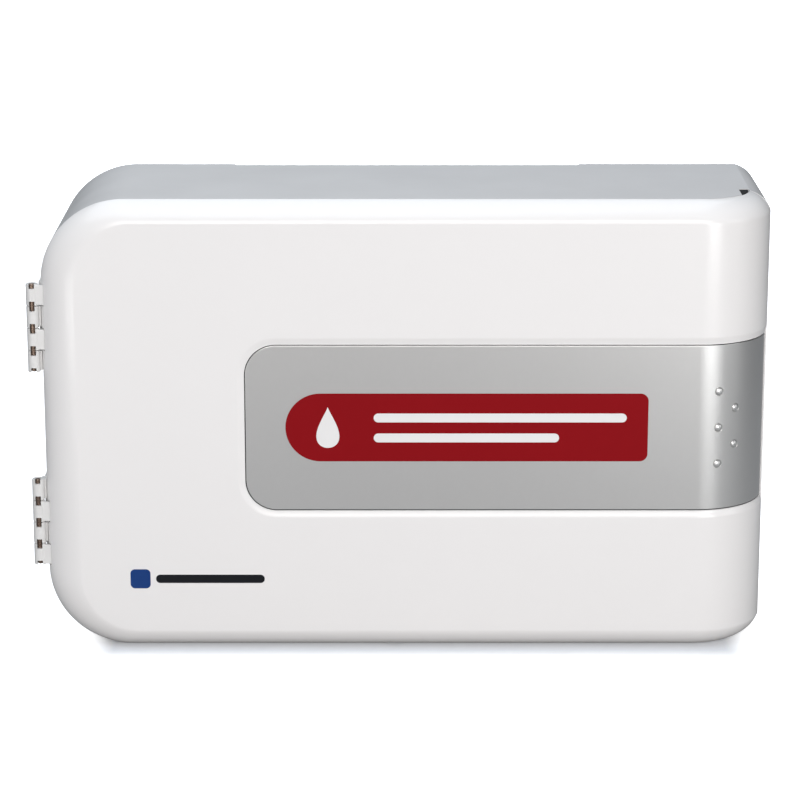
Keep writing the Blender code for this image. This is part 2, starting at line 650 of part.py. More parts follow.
def tourniquet(axis_empty):
    """Folded webbing, its base plate and clip, the windlass rod and the buckle."""
    block((STRAP_X - 19, 21, 38), (STRAP_X + 19, 48.5, 205), name="webbing_pack", kind="black_webbing",
          bevel=5.0)
    plate = prism(rounded(STRAP_X - 17.5, STRAP_X + 17.5, 68, 186, (6, 6), (6, 6), 4), 17.5, 20.7,
                  name="base_plate", kind="black_plastic")
    clip = block((STRAP_X - 10.5, 4.5, 70), (STRAP_X + 10.5, 17.2, 82), name="windlass_clip",
                 kind="black_plastic")
    cut(clip, block((STRAP_X - 7.5, 0, 60), (STRAP_X + 7.5, 14.5, 90)))
    rod((STRAP_X, 14.1, WINDLASS_Z), (0, 1, 0), 3.1, 5.5, name="inner_band", kind="black_webbing")
    half, tip = WINDLASS_HALF, 2.0
    profile = [(0, -half), (WINDLASS_R - tip, -half), (WINDLASS_R, tip - half), (WINDLASS_R, half - tip),
               (WINDLASS_R - tip, half), (0, half)]
    lean = (math.sin(WINDLASS_TILT), 0, math.cos(WINDLASS_TILT))
    turned(profile, (STRAP_X, WINDLASS_Y, WINDLASS_Z), lean, name="windlass_rod", kind="black_plastic",
           parent=axis_empty)
    buckle = prism(rounded(STRAP_X - 24, STRAP_X + 24, 206, 212.8, (1.5, 1.5), (1.5, 1.5), 2), 26, 46,
                   name="strap_buckle", kind="black_plastic")
    cut(buckle, block((STRAP_X - 20, 30, 200), (STRAP_X + 20, 42, 216)))
    block((STRAP_X - 24.4, 22, 150), (STRAP_X - 19.3, 34, 164), name="time_strap", kind="white_webbing",
          bevel=0.8)


def build():
    for old in list(bpy.data.objects):
        bpy.data.objects.remove(old)
    door = joint_empty("door_axis", (AXIS_X, AXIS_Y, HEIGHT / 2))
    windlass = joint_empty("windlass_axis", (STRAP_X, WINDLASS_Y, WINDLASS_Z))
    body_shell()
    door_shell(door)
    face_panel(door)
    face_label(door)
    for name, centre in HINGE_HEIGHTS.items():
        hinge(name, centre, door)
    catch(door)
    fittings()
    dressings()
    cradle()
    tourniquet(windlass)
    to_metres()


build()
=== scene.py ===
"""Looks for the bleeding-control wall cabinet.

It rebuilds the cabinet's shells, hinges, panel, label, fittings and soft goods finely around
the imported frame. Lengths below are in millimetres, in the frame's axes, and each piece is
scaled to metres when it is placed on its body.
"""

import contextlib
import math
import random

import bmesh
import bpy
from mathutils import Matrix, Vector, noise


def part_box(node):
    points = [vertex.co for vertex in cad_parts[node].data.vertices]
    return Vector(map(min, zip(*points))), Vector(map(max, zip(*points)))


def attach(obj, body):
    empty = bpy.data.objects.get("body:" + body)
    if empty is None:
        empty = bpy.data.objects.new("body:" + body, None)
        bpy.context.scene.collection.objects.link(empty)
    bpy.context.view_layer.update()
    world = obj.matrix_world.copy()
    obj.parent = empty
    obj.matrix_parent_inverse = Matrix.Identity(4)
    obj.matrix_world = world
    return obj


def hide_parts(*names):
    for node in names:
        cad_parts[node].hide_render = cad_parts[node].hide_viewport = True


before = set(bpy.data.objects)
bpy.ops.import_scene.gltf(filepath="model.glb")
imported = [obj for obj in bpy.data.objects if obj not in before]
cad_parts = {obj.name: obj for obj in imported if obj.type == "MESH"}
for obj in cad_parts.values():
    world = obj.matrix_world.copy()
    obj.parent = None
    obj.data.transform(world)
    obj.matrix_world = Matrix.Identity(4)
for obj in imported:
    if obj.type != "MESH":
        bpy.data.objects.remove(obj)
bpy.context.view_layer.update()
MM = 0.001
noise.seed_set(7)            # so that the wrappers crease the same way in every run


def node_box(name):
    """A CAD node's lowest and highest corners, in millimetres."""
    low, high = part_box(name)
    return low / MM, high / MM


# ---- sizes; the outer ones come from the frame
BODY_LOW, BODY_HIGH = node_box("body_shell")
LABEL_LOW, LABEL_HIGH = node_box("face_label")
LEFT_X, RIGHT_X, HEIGHT = BODY_LOW.x, BODY_HIGH.x, BODY_HIGH.z
FRONT_Y, BACK_Y = node_box("door_shell")[0].y, BODY_HIGH.y
GAP = 0.3
SEAM_GAP = 0.4
SEAM_Y = BODY_LOW.y - SEAM_GAP
SEAM_DEPTH = SEAM_Y - FRONT_Y

LEFT_CORNER_R = 45.0
BODY_WALL = 2.8
BACK_WALL = 3.0
BACK_RELIEF = 4.0
STANDOFF_INNER_X = 96.9
STANDOFF_WIDTH = 12.0
ROLL_HEIGHT = 10.5
ROLL_SIDE = 18.0
FLAT_CORNER_R = 32.0
DOOR_WALL = 4.0
RIM_WALL = 3.0
WRAP_R = 40.0
WRAP_X, WRAP_Y = RIGHT_X - WRAP_R, FRONT_Y + WRAP_R
DOOR_END_Y = -23.5
DOOR_END_TURN = math.acos((WRAP_Y - DOOR_END_Y) / WRAP_R)
DOOR_END_RUN = WRAP_X + WRAP_R * DOOR_END_TURN

PANEL_LEFT, PANEL_LOW, PANEL_HIGH = -87.4, 80.4, 172.2
PANEL_CORNER_R = 16.5
PANEL_DEPTH = 1.0
PANEL_THICK = 0.8
RECESS_DEPTH = PANEL_DEPTH + PANEL_THICK + GAP
RECESS_BORDER = 5.0
PANEL_GAP = 0.5
DOME_R, DOME_HIGH = 2.1, 0.8
DOME_RUNS = (168.6, 179.1)
DOME_MIDDLE, DOME_PITCH = 126.2, 20.3

AXIS_X, AXIS_Y = -201.8, SEAM_Y
BARREL_R, PIN_R, PIN_HOLE_R = 3.35, 1.5, 1.8
HINGE_HALF = 24.6
HINGE_HEIGHTS = {"upper": 179.6, "lower": 70.4}
KNUCKLES = 4
KNUCKLE_PITCH = 2 * HINGE_HALF / KNUCKLES
WINDOW_HALF_WIDE, WINDOW_HALF_HIGH = 1.5, 2.75
LEAF_SCREW_OFFSET = 15.0
SHANK_R, HEAD_R, HEAD_HIGH = 1.4, 2.5, 1.5
SCREW_HOLE_R = 1.75
BOSS_R = 4.0
DOOR_SCREW_X, BODY_SCREW_Y = -178.0, -30.0   # where the leaves' screws sit on each shell
# Each leaf's plate and arms, as opposite corners in X and Y, then its screw holes' start and axis
LEAVES = {"body": (((LEFT_X - 1.8, -41.0), (LEFT_X - GAP, -22.0)),
                   ((-200.6, -45.0), (LEFT_X - GAP - 0.02, -39.0)),
                   (LEFT_X - 6, BODY_SCREW_Y), (1, 0, 0)),
          "door": (((-189.0, SEAM_Y - 2.5), (-171.0, SEAM_Y - 0.4)),
                   ((-201.0, SEAM_Y - 2.48), (-187.0, SEAM_Y - 0.42)),
                   (DOOR_SCREW_X, SEAM_Y - 6), (0, 1, 0))}
ARM_SLOT = ((-199, SEAM_Y - 2.9), (-189, SEAM_Y + 1))       # what the arms take out of the door's rim
CATCH_Z = 125.0
STRIKE_X, STRIKE_Y, STRIKE_THICK = 181.0, -24.0, 1.2
STRIKE_SCREW_OFFSET, CATCH_SCREW_OFFSET = 15.0, 21.0
CATCH_BORE_X, CATCH_SCREW_Y = 190.0, STRIKE_Y + STRIKE_THICK + 17.7
STRAP_X, WINDLASS_Z, WINDLASS_Y = -112.0, 132.0, 9.0
WINDLASS_R, WINDLASS_HALF, WINDLASS_TILT = 4.5, 63.0, math.radians(20.0)

# Fineness of the visible meshes
CORNER_STEPS, ROLL_STEPS, WRAP_STEPS, ROUND_SIDES = 28, 14, 40, 48


# ---- materials
def add_node(tree, kind, inputs, **settings):
    """Add a shader node, set its properties, then set or link each of its inputs."""
    made = tree.nodes.new("ShaderNode" + kind)
    for key, value in settings.items():
        setattr(made, key, value)
    for key, value in inputs.items():
        if isinstance(value, bpy.types.NodeSocket):
            tree.links.new(value, made.inputs[key])
        else:
            made.inputs[key].default_value = value
    return made


def surface(name, colour, roughness, metallic=0.0, coat=0.0, coat_roughness=0.08, *, vary,
            vary_scale=30.0, rough_vary=0.06, bumps, sheen=0.0, specular=0.5):
    """A Principled material with soft variation of colour and gloss, and layers of bump.

    Each bump is (kind, scale, strength, height in millimetres)."""
    made = bpy.data.materials.new(name)
    made.use_nodes = True
    tree = made.node_tree
    shader = tree.nodes["Principled BSDF"]
    for socket, value in {"Metallic": metallic, "Coat Weight": coat, "Coat Roughness": coat_roughness,
                          "Sheen Weight": sheen, "Specular IOR Level": specular}.items():
        shader.inputs[socket].default_value = value
    place = add_node(tree, "TexCoord", {}).outputs["Object"]
    cloud = add_node(tree, "TexNoise", {"Scale": vary_scale, "Detail": 4.0, "Vector": place})
    tint = add_node(tree, "Mix", {"A": (*[c * (1 - vary) for c in colour], 1),
                                  "B": (*[c * (1 + vary) for c in colour], 1),
                                  "Factor": cloud.outputs["Fac"]}, data_type="RGBA")
    tree.links.new(tint.outputs["Result"], shader.inputs["Base Color"])
    smear = add_node(tree, "TexNoise", {"Scale": vary_scale * 2.3, "Detail": 6.0, "Vector": place})
    gloss = add_node(tree, "MapRange", {"From Min": 0.3, "From Max": 0.7,
                                        "To Min": roughness - rough_vary,
                                        "To Max": roughness + rough_vary,
                                        "Value": smear.outputs["Fac"]})
    tree.links.new(gloss.outputs["Result"], shader.inputs["Roughness"])
    below = {}
    for kind, scale, strength, height in bumps:
        bump = add_node(tree, "Bump", {"Strength": strength, "Distance": height * MM, **below,
                                       "Height": texture_height(tree, place, kind, scale)})
        below = {"Normal": bump.outputs["Normal"]}
    tree.links.new(bump.outputs["Normal"], shader.inputs["Normal"])
    return made


def texture_height(tree, place, kind, scale):
    """The height output of one bump layer: noise, creases, or threads across an axis."""
    if kind == "noise":
        return add_node(tree, "TexNoise",
                        {"Scale": scale, "Detail": 3.0, "Vector": place}).outputs["Fac"]
    if kind == "creases":
        warp = add_node(tree, "TexNoise", {"Scale": scale * 0.8, "Vector": place})
        mix = add_node(tree, "Mix", {"Factor": 0.04, "A": place, "B": warp.outputs["Color"]},
                       data_type="VECTOR")
        return add_node(tree, "TexVoronoi", {"Scale": scale, "Vector": mix.outputs["Result"]},
                        feature="DISTANCE_TO_EDGE").outputs["Distance"]
    return add_node(tree, "TexWave", {"Scale": scale, "Distortion": 0.4, "Detail": 1.0,
                                      "Vector": place}, bands_direction=kind).outputs["Fac"]


ABS = surface("gloss_abs", (0.84, 0.832, 0.826), 0.225, coat=0.12, coat_roughness=0.12, vary=0.008,
              vary_scale=9.0, rough_vary=0.03,
              bumps=[("noise", 140.0, 0.10, 0.05), ("noise", 900.0, 0.06, 0.02)])
ABS_INNER = surface("matte_abs", (0.80, 0.80, 0.79), 0.38, vary=0.02, vary_scale=14.0,
                    bumps=[("noise", 1500.0, 0.3, 0.03)])
HINGE = surface("hinge_abs", (0.74, 0.74, 0.73), 0.35, coat=0.2, vary=0.04, vary_scale=220.0,
                bumps=[("noise", 900.0, 0.12, 0.03)])
SILVER = surface("satin_silver", (0.665, 0.665, 0.656), 0.34, metallic=0.9, vary=0.012,
                 vary_scale=350.0, rough_vary=0.012, bumps=[("noise", 3200.0, 0.14, 0.015)])
# Near-black fill for painted shade: it stands in the gap round the panel and in the seam's notch, where
# there is only shade.
PAINTED_SHADE = surface("painted_shade_dark", (0.020, 0.020, 0.021), 0.65, vary=0.15, vary_scale=300.0, specular=0.2,
                 bumps=[("noise", 2200.0, 0.4, 0.03)])
RED = surface("red_film", (0.250, 0.0050, 0.0085), 0.5, vary=0.04, vary_scale=25.0,
              rough_vary=0.03, specular=0.05, bumps=[("noise", 1800.0, 0.10, 0.01)])
PRINT_WHITE = surface("white_print", (0.80, 0.80, 0.80), 0.40, vary=0.02, vary_scale=60.0,
                      bumps=[("noise", 1800.0, 0.08, 0.01)])
PRINT_BLUE = surface("blue_print", (0.010, 0.045, 0.19), 0.40, vary=0.03, specular=0.15,
                     bumps=[("noise", 1800.0, 0.08, 0.01)])
PRINT_DARK = surface("dark_print", (0.008, 0.009, 0.012), 0.42, vary=0.03, specular=0.15,
                     bumps=[("noise", 1800.0, 0.08, 0.01)])
PIN = surface("pin_steel", (0.26, 0.19, 0.15), 0.28, metallic=0.95, vary=0.35, vary_scale=500.0,
              rough_vary=0.12, bumps=[("noise", 1600.0, 0.3, 0.03)])
ZINC = surface("zinc_steel", (0.58, 0.57, 0.55), 0.30, metallic=1.0, vary=0.10, vary_scale=300.0,
               rough_vary=0.10, bumps=[("noise", 1400.0, 0.2, 0.02)])
MAGNET = surface("ferrite", (0.045, 0.045, 0.05), 0.55, vary=0.15, vary_scale=400.0,
                 bumps=[("noise", 1100.0, 0.5, 0.05)])
GREY = surface("grey_moulding", (0.26, 0.27, 0.28), 0.45, vary=0.05, vary_scale=50.0,
               bumps=[("noise", 1500.0, 0.4, 0.04)])
BLACK = surface("black_moulding", (0.022, 0.022, 0.024), 0.42, vary=0.10, vary_scale=80.0,
                bumps=[("noise", 1300.0, 0.4, 0.05)])
WEBBING = surface("black_webbing", (0.020, 0.020, 0.023), 0.85, vary=0.25, vary_scale=300.0, sheen=0.3,
                  bumps=[("Z", 250.0, 0.7, 0.25), ("X", 330.0, 0.5, 0.20), ("noise", 2500.0, 0.4, 0.08)])
TIME_TAPE = surface("white_tape", (0.72, 0.72, 0.69), 0.85, vary=0.06, vary_scale=300.0, sheen=0.3,
                    bumps=[("Z", 300.0, 0.5, 0.15), ("Y", 330.0, 0.5, 0.15)])
OLIVE = surface("olive_film", (0.10, 0.115, 0.055), 0.35, coat=0.5, vary=0.12, vary_scale=40.0,
                bumps=[("creases", 130.0, 0.35, 0.9), ("noise", 260.0, 0.35, 0.5)])
FOIL = surface("foil_film", (0.50, 0.50, 0.48), 0.21, metallic=0.75, coat=0.4, vary=0.08,
               vary_scale=40.0, rough_vary=0.05,
               bumps=[("creases", 150.0, 0.40, 0.8), ("noise", 300.0, 0.35, 0.5)])
BLUE_FILM = surface("blue_film", (0.03, 0.12, 0.26), 0.35, coat=0.5, vary=0.10, vary_scale=40.0,
                    bumps=[("creases", 140.0, 0.35, 0.8), ("noise", 280.0, 0.35, 0.5)])


# ---- mesh helpers, in millimetres
def new_object(name, data):
    made = bpy.data.objects.new(name, data)
    bpy.context.scene.collection.objects.link(made)
    return made


def finish(name, data):
    """Make one object from a bmesh in millimetres."""
    bmesh.ops.recalc_face_normals(data, faces=data.faces)
    mesh = bpy.data.meshes.new(name)
    data.to_mesh(mesh)
    data.free()
    return new_object(name, mesh)


@contextlib.contextmanager
def opened(piece):
    """A piece's mesh as a bmesh, written back when the block ends."""
    data = bmesh.new()
    data.from_mesh(piece.data)
    yield data
    data.to_mesh(piece.data)
    data.free()


def apply_modifiers(piece):
    bpy.context.view_layer.update()
    evaluated = piece.evaluated_get(bpy.context.evaluated_depsgraph_get())
    mesh = bpy.data.meshes.new_from_object(evaluated)
    piece.modifiers.clear()
    old = piece.data
    piece.data = mesh
    bpy.data.meshes.remove(old)
    mesh.name = piece.name


def combine(target, other, operation):
    """Apply a Boolean of two objects and drop the second one."""
    modifier = target.modifiers.new("combine", "BOOLEAN")
    modifier.operation = operation
    modifier.object = other
    apply_modifiers(target)
    bpy.data.objects.remove(other)
    with opened(target) as data:
        bmesh.ops.triangulate(data, faces=data.faces[:])
        bmesh.ops.remove_doubles(data, verts=data.verts[:], dist=0.001)
        bmesh.ops.dissolve_degenerate(data, edges=data.edges[:], dist=0.001)


def cut(target, *cutters):
    for cutter in cutters:
        combine(target, cutter, "DIFFERENCE")


def add(target, *others):
    for other in others:
        combine(target, other, "UNION")


def place(piece, body, material, slot, replaces=(), smooth=35.0):
    """Scale a finished piece to metres, shade it, and hang it on its CAD body."""
    piece.data.transform(Matrix.Scale(MM, 4))
    piece.data.materials.clear()
    piece.data.materials.append(material)
    piece.data.shade_smooth()
    piece.data.set_sharp_from_angle(angle=math.radians(smooth))
    weighted = piece.modifiers.new("weighted", "WEIGHTED_NORMAL")
    weighted.keep_sharp = True
    apply_modifiers(piece)
    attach(piece, body)
    if replaces:
        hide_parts(*replaces)
    return piece


def block(low, high, bevel=0.0, segments=2):
    """A box between two corners, with its edges bevelled."""
    data = bmesh.new()
    bmesh.ops.create_cube(data, size=1.0)
    bmesh.ops.scale(data, vec=Vector(high) - Vector(low), verts=data.verts)
    bmesh.ops.translate(data, vec=(Vector(high) + Vector(low)) / 2, verts=data.verts)
    if bevel:
        bmesh.ops.bevel(data, geom=data.edges[:], offset=bevel, segments=segments, profile=0.5,
                        affect="EDGES", clamp_overlap=True)
    return finish("block", data)


def turned(profile, base, axis, name="turned", sides=ROUND_SIDES):
    """Turn (radius, distance) points about an axis through base; the ends lie on the axis."""
    data = bmesh.new()
    rings = []
    for radius, along in profile:
        if radius == 0.0:
            rings.append([data.verts.new((0.0, 0.0, along))])
            continue
        turns = [2 * math.pi * step / sides for step in range(sides)]
        rings.append([data.verts.new((radius * math.cos(t), radius * math.sin(t), along))
                      for t in turns])
    for lower, upper in zip(rings, rings[1:]):
        for step in range(sides):
            follow = (step + 1) % sides
            corners = [lower[step % len(lower)], lower[follow % len(lower)],
                       upper[follow % len(upper)], upper[step % len(upper)]]
            data.faces.new(list(dict.fromkeys(corners)))
    turn = Vector((0, 0, 1)).rotation_difference(Vector(axis)).to_matrix().to_4x4()
    bmesh.ops.transform(data, matrix=Matrix.Translation(Vector(base)) @ turn, verts=data.verts)
    return finish(name, data)


def mirrored(half, length):
    """A profile of the given length whose two ends are alike."""
    return half + [(radius, length - along) for radius, along in half[::-1]]


def rod(base, axis, length, radius, sides=ROUND_SIDES):
    return turned(mirrored([(0.0, 0.0), (radius, 0.0)], length), base, axis, "rod", sides)


def arc(centre, radii, start, end, steps):
    """Points on an elliptical arc, in degrees, both ends included."""
    turns = [math.radians(start + (end - start) * step / steps) for step in range(steps + 1)]
    return [(centre[0] + radii[0] * math.cos(t), centre[1] + radii[1] * math.sin(t)) for t in turns]


def rounded(left, right, low, high, left_radii, right_radii, steps):
    """A rectangle with elliptical corners, one size on the left and one on the right."""
    (la, lb), (ra, rb) = left_radii, right_radii
    return (arc((left + la, high - lb), left_radii, 180, 90, steps)
            + arc((right - ra, high - rb), right_radii, 90, 0, steps)
            + arc((right - ra, low + rb), right_radii, 0, -90, steps)
            + arc((left + la, low + lb), left_radii, 270, 180, steps))


def loft(sections, name, axis="Y"):
    """Join outlines of equal length, each at its own level along Y or Z, and cap the ends."""
    data = bmesh.new()

    def corner(point, level):
        return (point[0], level, point[1]) if axis == "Y" else (point[0], point[1], level)

    rings = [[data.verts.new(corner(point, level)) for point in outline] for outline, level in sections]
    for first, second in zip(rings, rings[1:]):
        bridge(data, first, second, closed=True)
    data.faces.new(rings[0])
    data.faces.new(rings[-1])
    return finish(name, data)


def prism(outline, low, high, axis="Y"):
    return loft([(outline, low), (outline, high)], "prism", axis)


def bridge(data, first, second, closed=False):
    count = len(first)
    for step in range(count if closed else count - 1):
        follow = (step + 1) % count
        data.faces.new((first[step], first[follow], second[follow], second[step]))


# ---- the door
def bend(point):
    """Bend (run, depth, height) of the flat door to X, Y, Z."""
    run, depth, height = point
    beyond = run - WRAP_X
    if beyond <= 0.0:
        return (run, FRONT_Y + depth, height)
    turn, radius = beyond / WRAP_R, WRAP_R - depth
    return (WRAP_X + radius * math.sin(turn), WRAP_Y - radius * math.cos(turn), height)


def bent(name, data):
    """Cut a flat closed mesh at the wrap's stations and bend it round the corner, as one object."""
    bmesh.ops.recalc_face_normals(data, faces=data.faces)
    bmesh.ops.triangulate(data, faces=[face for face in data.faces if len(face.verts) > 4])
    for step in range(WRAP_STEPS):
        station = WRAP_X + (DOOR_END_RUN - WRAP_X) * step / WRAP_STEPS
        bmesh.ops.bisect_plane(data, geom=data.verts[:] + data.edges[:] + data.faces[:], dist=1e-4,
                               plane_co=(station, 0, 0), plane_no=(1, 0, 0))
    for vert in data.verts:
        vert.co = bend(vert.co)
    return finish(name, data)


def u_path(left, low, high, radius, end, steps):
    """A path from the door's end along the bottom, round the left side, and back along the top."""
    return [(end, low), *arc((left + radius, low + radius), (radius, radius), 270, 180, steps),
            *arc((left + radius, high - radius), (radius, radius), 180, 90, steps), (end, high)]


def roll_ring(data, reach_part, depth, rim=0.0, inset=0.0):
    """One ring of the rolled edge: reach_part is 1 at the seam and 0 at the flat face's edge,
    which can be moved inwards."""
    seams = u_path(LEFT_X, 0.0, HEIGHT, LEFT_CORNER_R, DOOR_END_RUN, CORNER_STEPS)
    flats = u_path(LEFT_X + ROLL_SIDE + inset, ROLL_HEIGHT + inset, HEIGHT - ROLL_HEIGHT - inset,
                   FLAT_CORNER_R - inset, DOOR_END_RUN, CORNER_STEPS)
    ring = []
    for seam, flat in zip(seams, flats):
        reach = Vector(seam) - Vector(flat)
        reach *= (reach.length - rim) / reach.length * reach_part
        ring.append(data.verts.new((flat[0] + reach[0], depth, flat[1] + reach[1])))
    return ring


SEAM_TURN = math.radians(16.0)       # the roll meets the seam a little before it is square to it
CREASE_TURN = math.radians(72.0)     # and the flat face at a soft crease
EDGE_ROUND, SUPPORT = 0.45, 1.6
CREASE_EASE = 0.07                   # the roll ends this far behind the face


def roll_profile():
    """(reach, depth) of the rolled edge: reach is 1 at the seam and 0 at the crease."""
    span_in = math.cos(SEAM_TURN) - math.cos(CREASE_TURN)
    span_out = math.sin(CREASE_TURN) - math.sin(SEAM_TURN)
    turns = [SEAM_TURN + (CREASE_TURN - SEAM_TURN) * step / ROLL_STEPS for step in range(ROLL_STEPS + 1)]
    return [((math.cos(turn) - math.cos(CREASE_TURN)) / span_in,
             (SEAM_DEPTH - EDGE_ROUND) * (math.sin(CREASE_TURN) - math.sin(turn)) / span_out)
            for turn in turns]


def outer_rings(data):
    """The roll from the seam's rounded edge to the crease, and a ring that keeps the face flat."""
    rings = [roll_ring(data, 1.0, SEAM_DEPTH, rim=EDGE_ROUND),
             roll_ring(data, 1.0, SEAM_DEPTH - 0.3 * EDGE_ROUND, rim=0.3 * EDGE_ROUND)]
    rings += [roll_ring(data, reach, max(depth, CREASE_EASE)) for reach, depth in roll_profile()]
    rings.append(roll_ring(data, 0.0, 0.015, inset=0.5 * SUPPORT))
    rings.append(roll_ring(data, 0.0, 0.0, inset=SUPPORT))
    return rings


def inner_rings(data):
    rings = []
    for step in range(ROLL_STEPS + 1):
        turn = math.pi / 2 * step / ROLL_STEPS
        depth = SEAM_DEPTH - (SEAM_DEPTH - DOOR_WALL) * math.sin(turn)
        rings.append(roll_ring(data, math.cos(turn), depth, rim=RIM_WALL))
    return rings


def panel_path(data, grow, depth, end=DOOR_END_RUN):
    """The panel's outline, grown outwards, at one depth; it is open at the door's end."""
    path = u_path(PANEL_LEFT - grow, PANEL_LOW - grow, PANEL_HIGH + grow, PANEL_CORNER_R + grow, end, 20)
    return [data.verts.new((run, depth, height)) for run, height in path]


def recess_rings(data):
    """The soft slope down to the panel, and the narrow gap round it."""
    rings, steps = [], 7
    for step in range(steps + 1):
        part = step / steps
        grow = RECESS_BORDER + (PANEL_GAP + 0.1 - RECESS_BORDER) * part
        rings.append(panel_path(data, grow, PANEL_DEPTH * 0.85 * part * part * (3 - 2 * part)))
    rings.append(panel_path(data, PANEL_GAP, PANEL_DEPTH + 0.15))
    rings.append(panel_path(data, PANEL_GAP, RECESS_DEPTH))
    return rings


def thumb_notch():
    """A shallow arch across the bottom seam."""
    half_width, rise, middle = 5.5, 1.6, -7.6
    curve = arc((middle, 0.0), (half_width, rise), 180, 0, 24)
    outline = [(middle - half_width, -5.0), *curve, (middle + half_width, -5.0)]
    return prism(outline, SEAM_Y - 9.0, SEAM_Y + 5.0)


def door_shell():
    """The white door: rolled edges, the recess, and the bosses behind."""
    data = bmesh.new()
    outer, inner, recess = outer_rings(data), inner_rings(data), recess_rings(data)
    for rings in (outer, inner, recess):
        for first, second in zip(rings, rings[1:]):
            bridge(data, first, second)
    bridge(data, outer[0], inner[0])
    data.faces.new(inner[-1])
    data.faces.new(recess[-1])
    data.faces.new(outer[-1] + recess[0][::-1])
    profile = outer + recess
    end = [ring[0] for ring in profile] + [ring[-1] for ring in profile[::-1]]
    end += [ring[-1] for ring in inner] + [ring[0] for ring in inner[::-1]]
    data.faces.new(end)
    shell = bent("door_shell_fine", data)
    inner_face = FRONT_Y + DOOR_WALL
    for hinge, centre in HINGE_HEIGHTS.items():
        for side in (-1, 1):
            height = centre + side * LEAF_SCREW_OFFSET
            add(shell, rod((DOOR_SCREW_X, inner_face - 1.0, height), (0, 1, 0), 6.2, BOSS_R))
            cut(shell, rod((DOOR_SCREW_X, inner_face, height), (0, 1, 0), 10.0, SCREW_HOLE_R, 24))
        for low, high in knuckle_spans(hinge, "door"):
            cut(shell, block((*ARM_SLOT[0], centre + low - 0.2), (*ARM_SLOT[1], centre + high + 0.2)))
    for side in (-1, 1):
        height = CATCH_Z + side * STRIKE_SCREW_OFFSET
        boss = rod((STRIKE_X, FRONT_Y, height), (0, 1, 0), STRIKE_Y - GAP - FRONT_Y, BOSS_R)
        combine(boss, rod((WRAP_X, WRAP_Y, 0), (0, 0, 1), HEIGHT, WRAP_R - 3.0, 96), "INTERSECT")
        add(shell, boss)
        cut(shell, rod((STRIKE_X, STRIKE_Y - 8.0, height), (0, 1, 0), 20.0, SCREW_HOLE_R, 24))
    cut(shell, thumb_notch())
    place(shell, "door", ABS, "white_abs", ["door_shell"], smooth=28.0)


def dome_places():
    """(run, height) of the five domes."""
    outer, inner = DOME_RUNS
    return ([(outer, DOME_MIDDLE + step * DOME_PITCH) for step in (-1, 0, 1)]
            + [(inner, DOME_MIDDLE + step * DOME_PITCH) for step in (-0.5, 0.5)])


GROOVE_WIDTH, GROOVE_DEPTH = 0.50, 0.32      # the ring round each dome


def face_panel():
    """The satin panel, with a rounded edge and five domes."""
    data = bmesh.new()
    end, edge = DOOR_END_RUN - GAP, 0.20
    face, back = PANEL_DEPTH, PANEL_DEPTH + PANEL_THICK
    levels = [(-1.5 * edge, face), (-1.0 * edge, face + 0.02), (-0.3 * edge, face + 0.3 * edge),
              (0.0, face + edge), (0.0, back)]
    rings = [panel_path(data, grow, depth, end) for grow, depth in levels]
    for first, second in zip(rings, rings[1:]):
        bridge(data, first, second)
    data.faces.new(rings[0])
    data.faces.new(rings[-1])
    data.faces.new([ring[0] for ring in rings] + [ring[-1] for ring in rings[::-1]])
    panel = bent("face_panel_fine", data)
    for run, height in dome_places():
        seat = Vector(bend((run, PANEL_DEPTH + PANEL_THICK / 2, height)))
        outward = (Vector(bend((run, 0.0, height))) - Vector(bend((run, 1.0, height)))).normalized()
        base, steps = PANEL_THICK / 2, 6
        profile = [(0.0, 0.0), (DOME_R, 0.0), (DOME_R, base)]
        for step in range(1, steps + 1):
            turn = math.pi / 2 * step / steps
            radius = DOME_R * math.cos(turn) if step < steps else 0.0
            profile.append((radius, base + DOME_HIGH * math.sin(turn)))
        groove = [(0.0, base - GROOVE_DEPTH), (DOME_R, base - GROOVE_DEPTH),
                  (DOME_R + GROOVE_WIDTH, base + 0.06), (0.0, base + 0.06)]
        cut(panel, turned(groove, seat, outward, sides=40))
        add(panel, turned(profile, seat, outward, sides=32))
    place(panel, "door", SILVER, "silver_panel", ["face_panel"], smooth=28.0)


def panel_shade_line():
    """A near-black ring in the gap round the panel: painted shade, so that the gap shows as a thin dark
    line all round it.
    """
    data = bmesh.new()
    inner, outer = -0.05, PANEL_GAP - 0.04
    front, back = PANEL_DEPTH + 0.45, RECESS_DEPTH - 0.05
    end = DOOR_END_RUN - GAP
    rings = [panel_path(data, grow, depth, end)
             for grow, depth in ((inner, front), (outer, front), (outer, back), (inner, back))]
    for index, ring in enumerate(rings):
        bridge(data, ring, rings[(index + 1) % 4])
    for tip in (0, -1):
        data.faces.new([ring[tip] for ring in rings])
    place(bent("face_panel_shade_line", data), "door", PAINTED_SHADE, "black_plastic")


def seam_notch_shade():
    """A small near-black fill in the notch at the seam's upper end: painted shade, so that the notch
    reads dark.
    """
    radius, left, back = WRAP_R - SEAM_DEPTH - SEAM_GAP - 0.1, NOTCH_LEFT + 0.05, NOTCH_BACK - 0.05
    start = math.degrees(math.asin((left - WRAP_X) / radius)) - 90
    end = math.degrees(math.acos((WRAP_Y - back) / radius)) - 90
    outline = [*arc((WRAP_X, WRAP_Y), (radius, radius), start, end, 12), (left, back)]
    notch_shade_fill = loft([(outline, HEIGHT - 5.0), (outline, HEIGHT - 0.25)], axis="Z", name="seam_notch_shade")
    place(notch_shade_fill, "cabinet", PAINTED_SHADE, "black_plastic")


# ---- films and prints on the face
def film(name, outline, back, thick, material, slot, replaces=()):
    """A thin film with softened edges, its back at Y = back."""
    low = Vector((min(x for x, _ in outline), min(z for _, z in outline)))
    high = Vector((max(x for x, _ in outline), max(z for _, z in outline)))
    middle, half = (low + high) / 2, (high - low) / 2

    def shrunk(amount):
        return [(middle[0] + (x - middle[0]) * (1 - amount / half[0]),
                 middle[1] + (z - middle[1]) * (1 - amount / half[1])) for x, z in outline]

    piece = loft([(outline, back), (outline, back - thick * 0.6),
                  (shrunk(thick * 0.5), back - thick)], name=name)
    return place(piece, "door", material, slot, replaces)


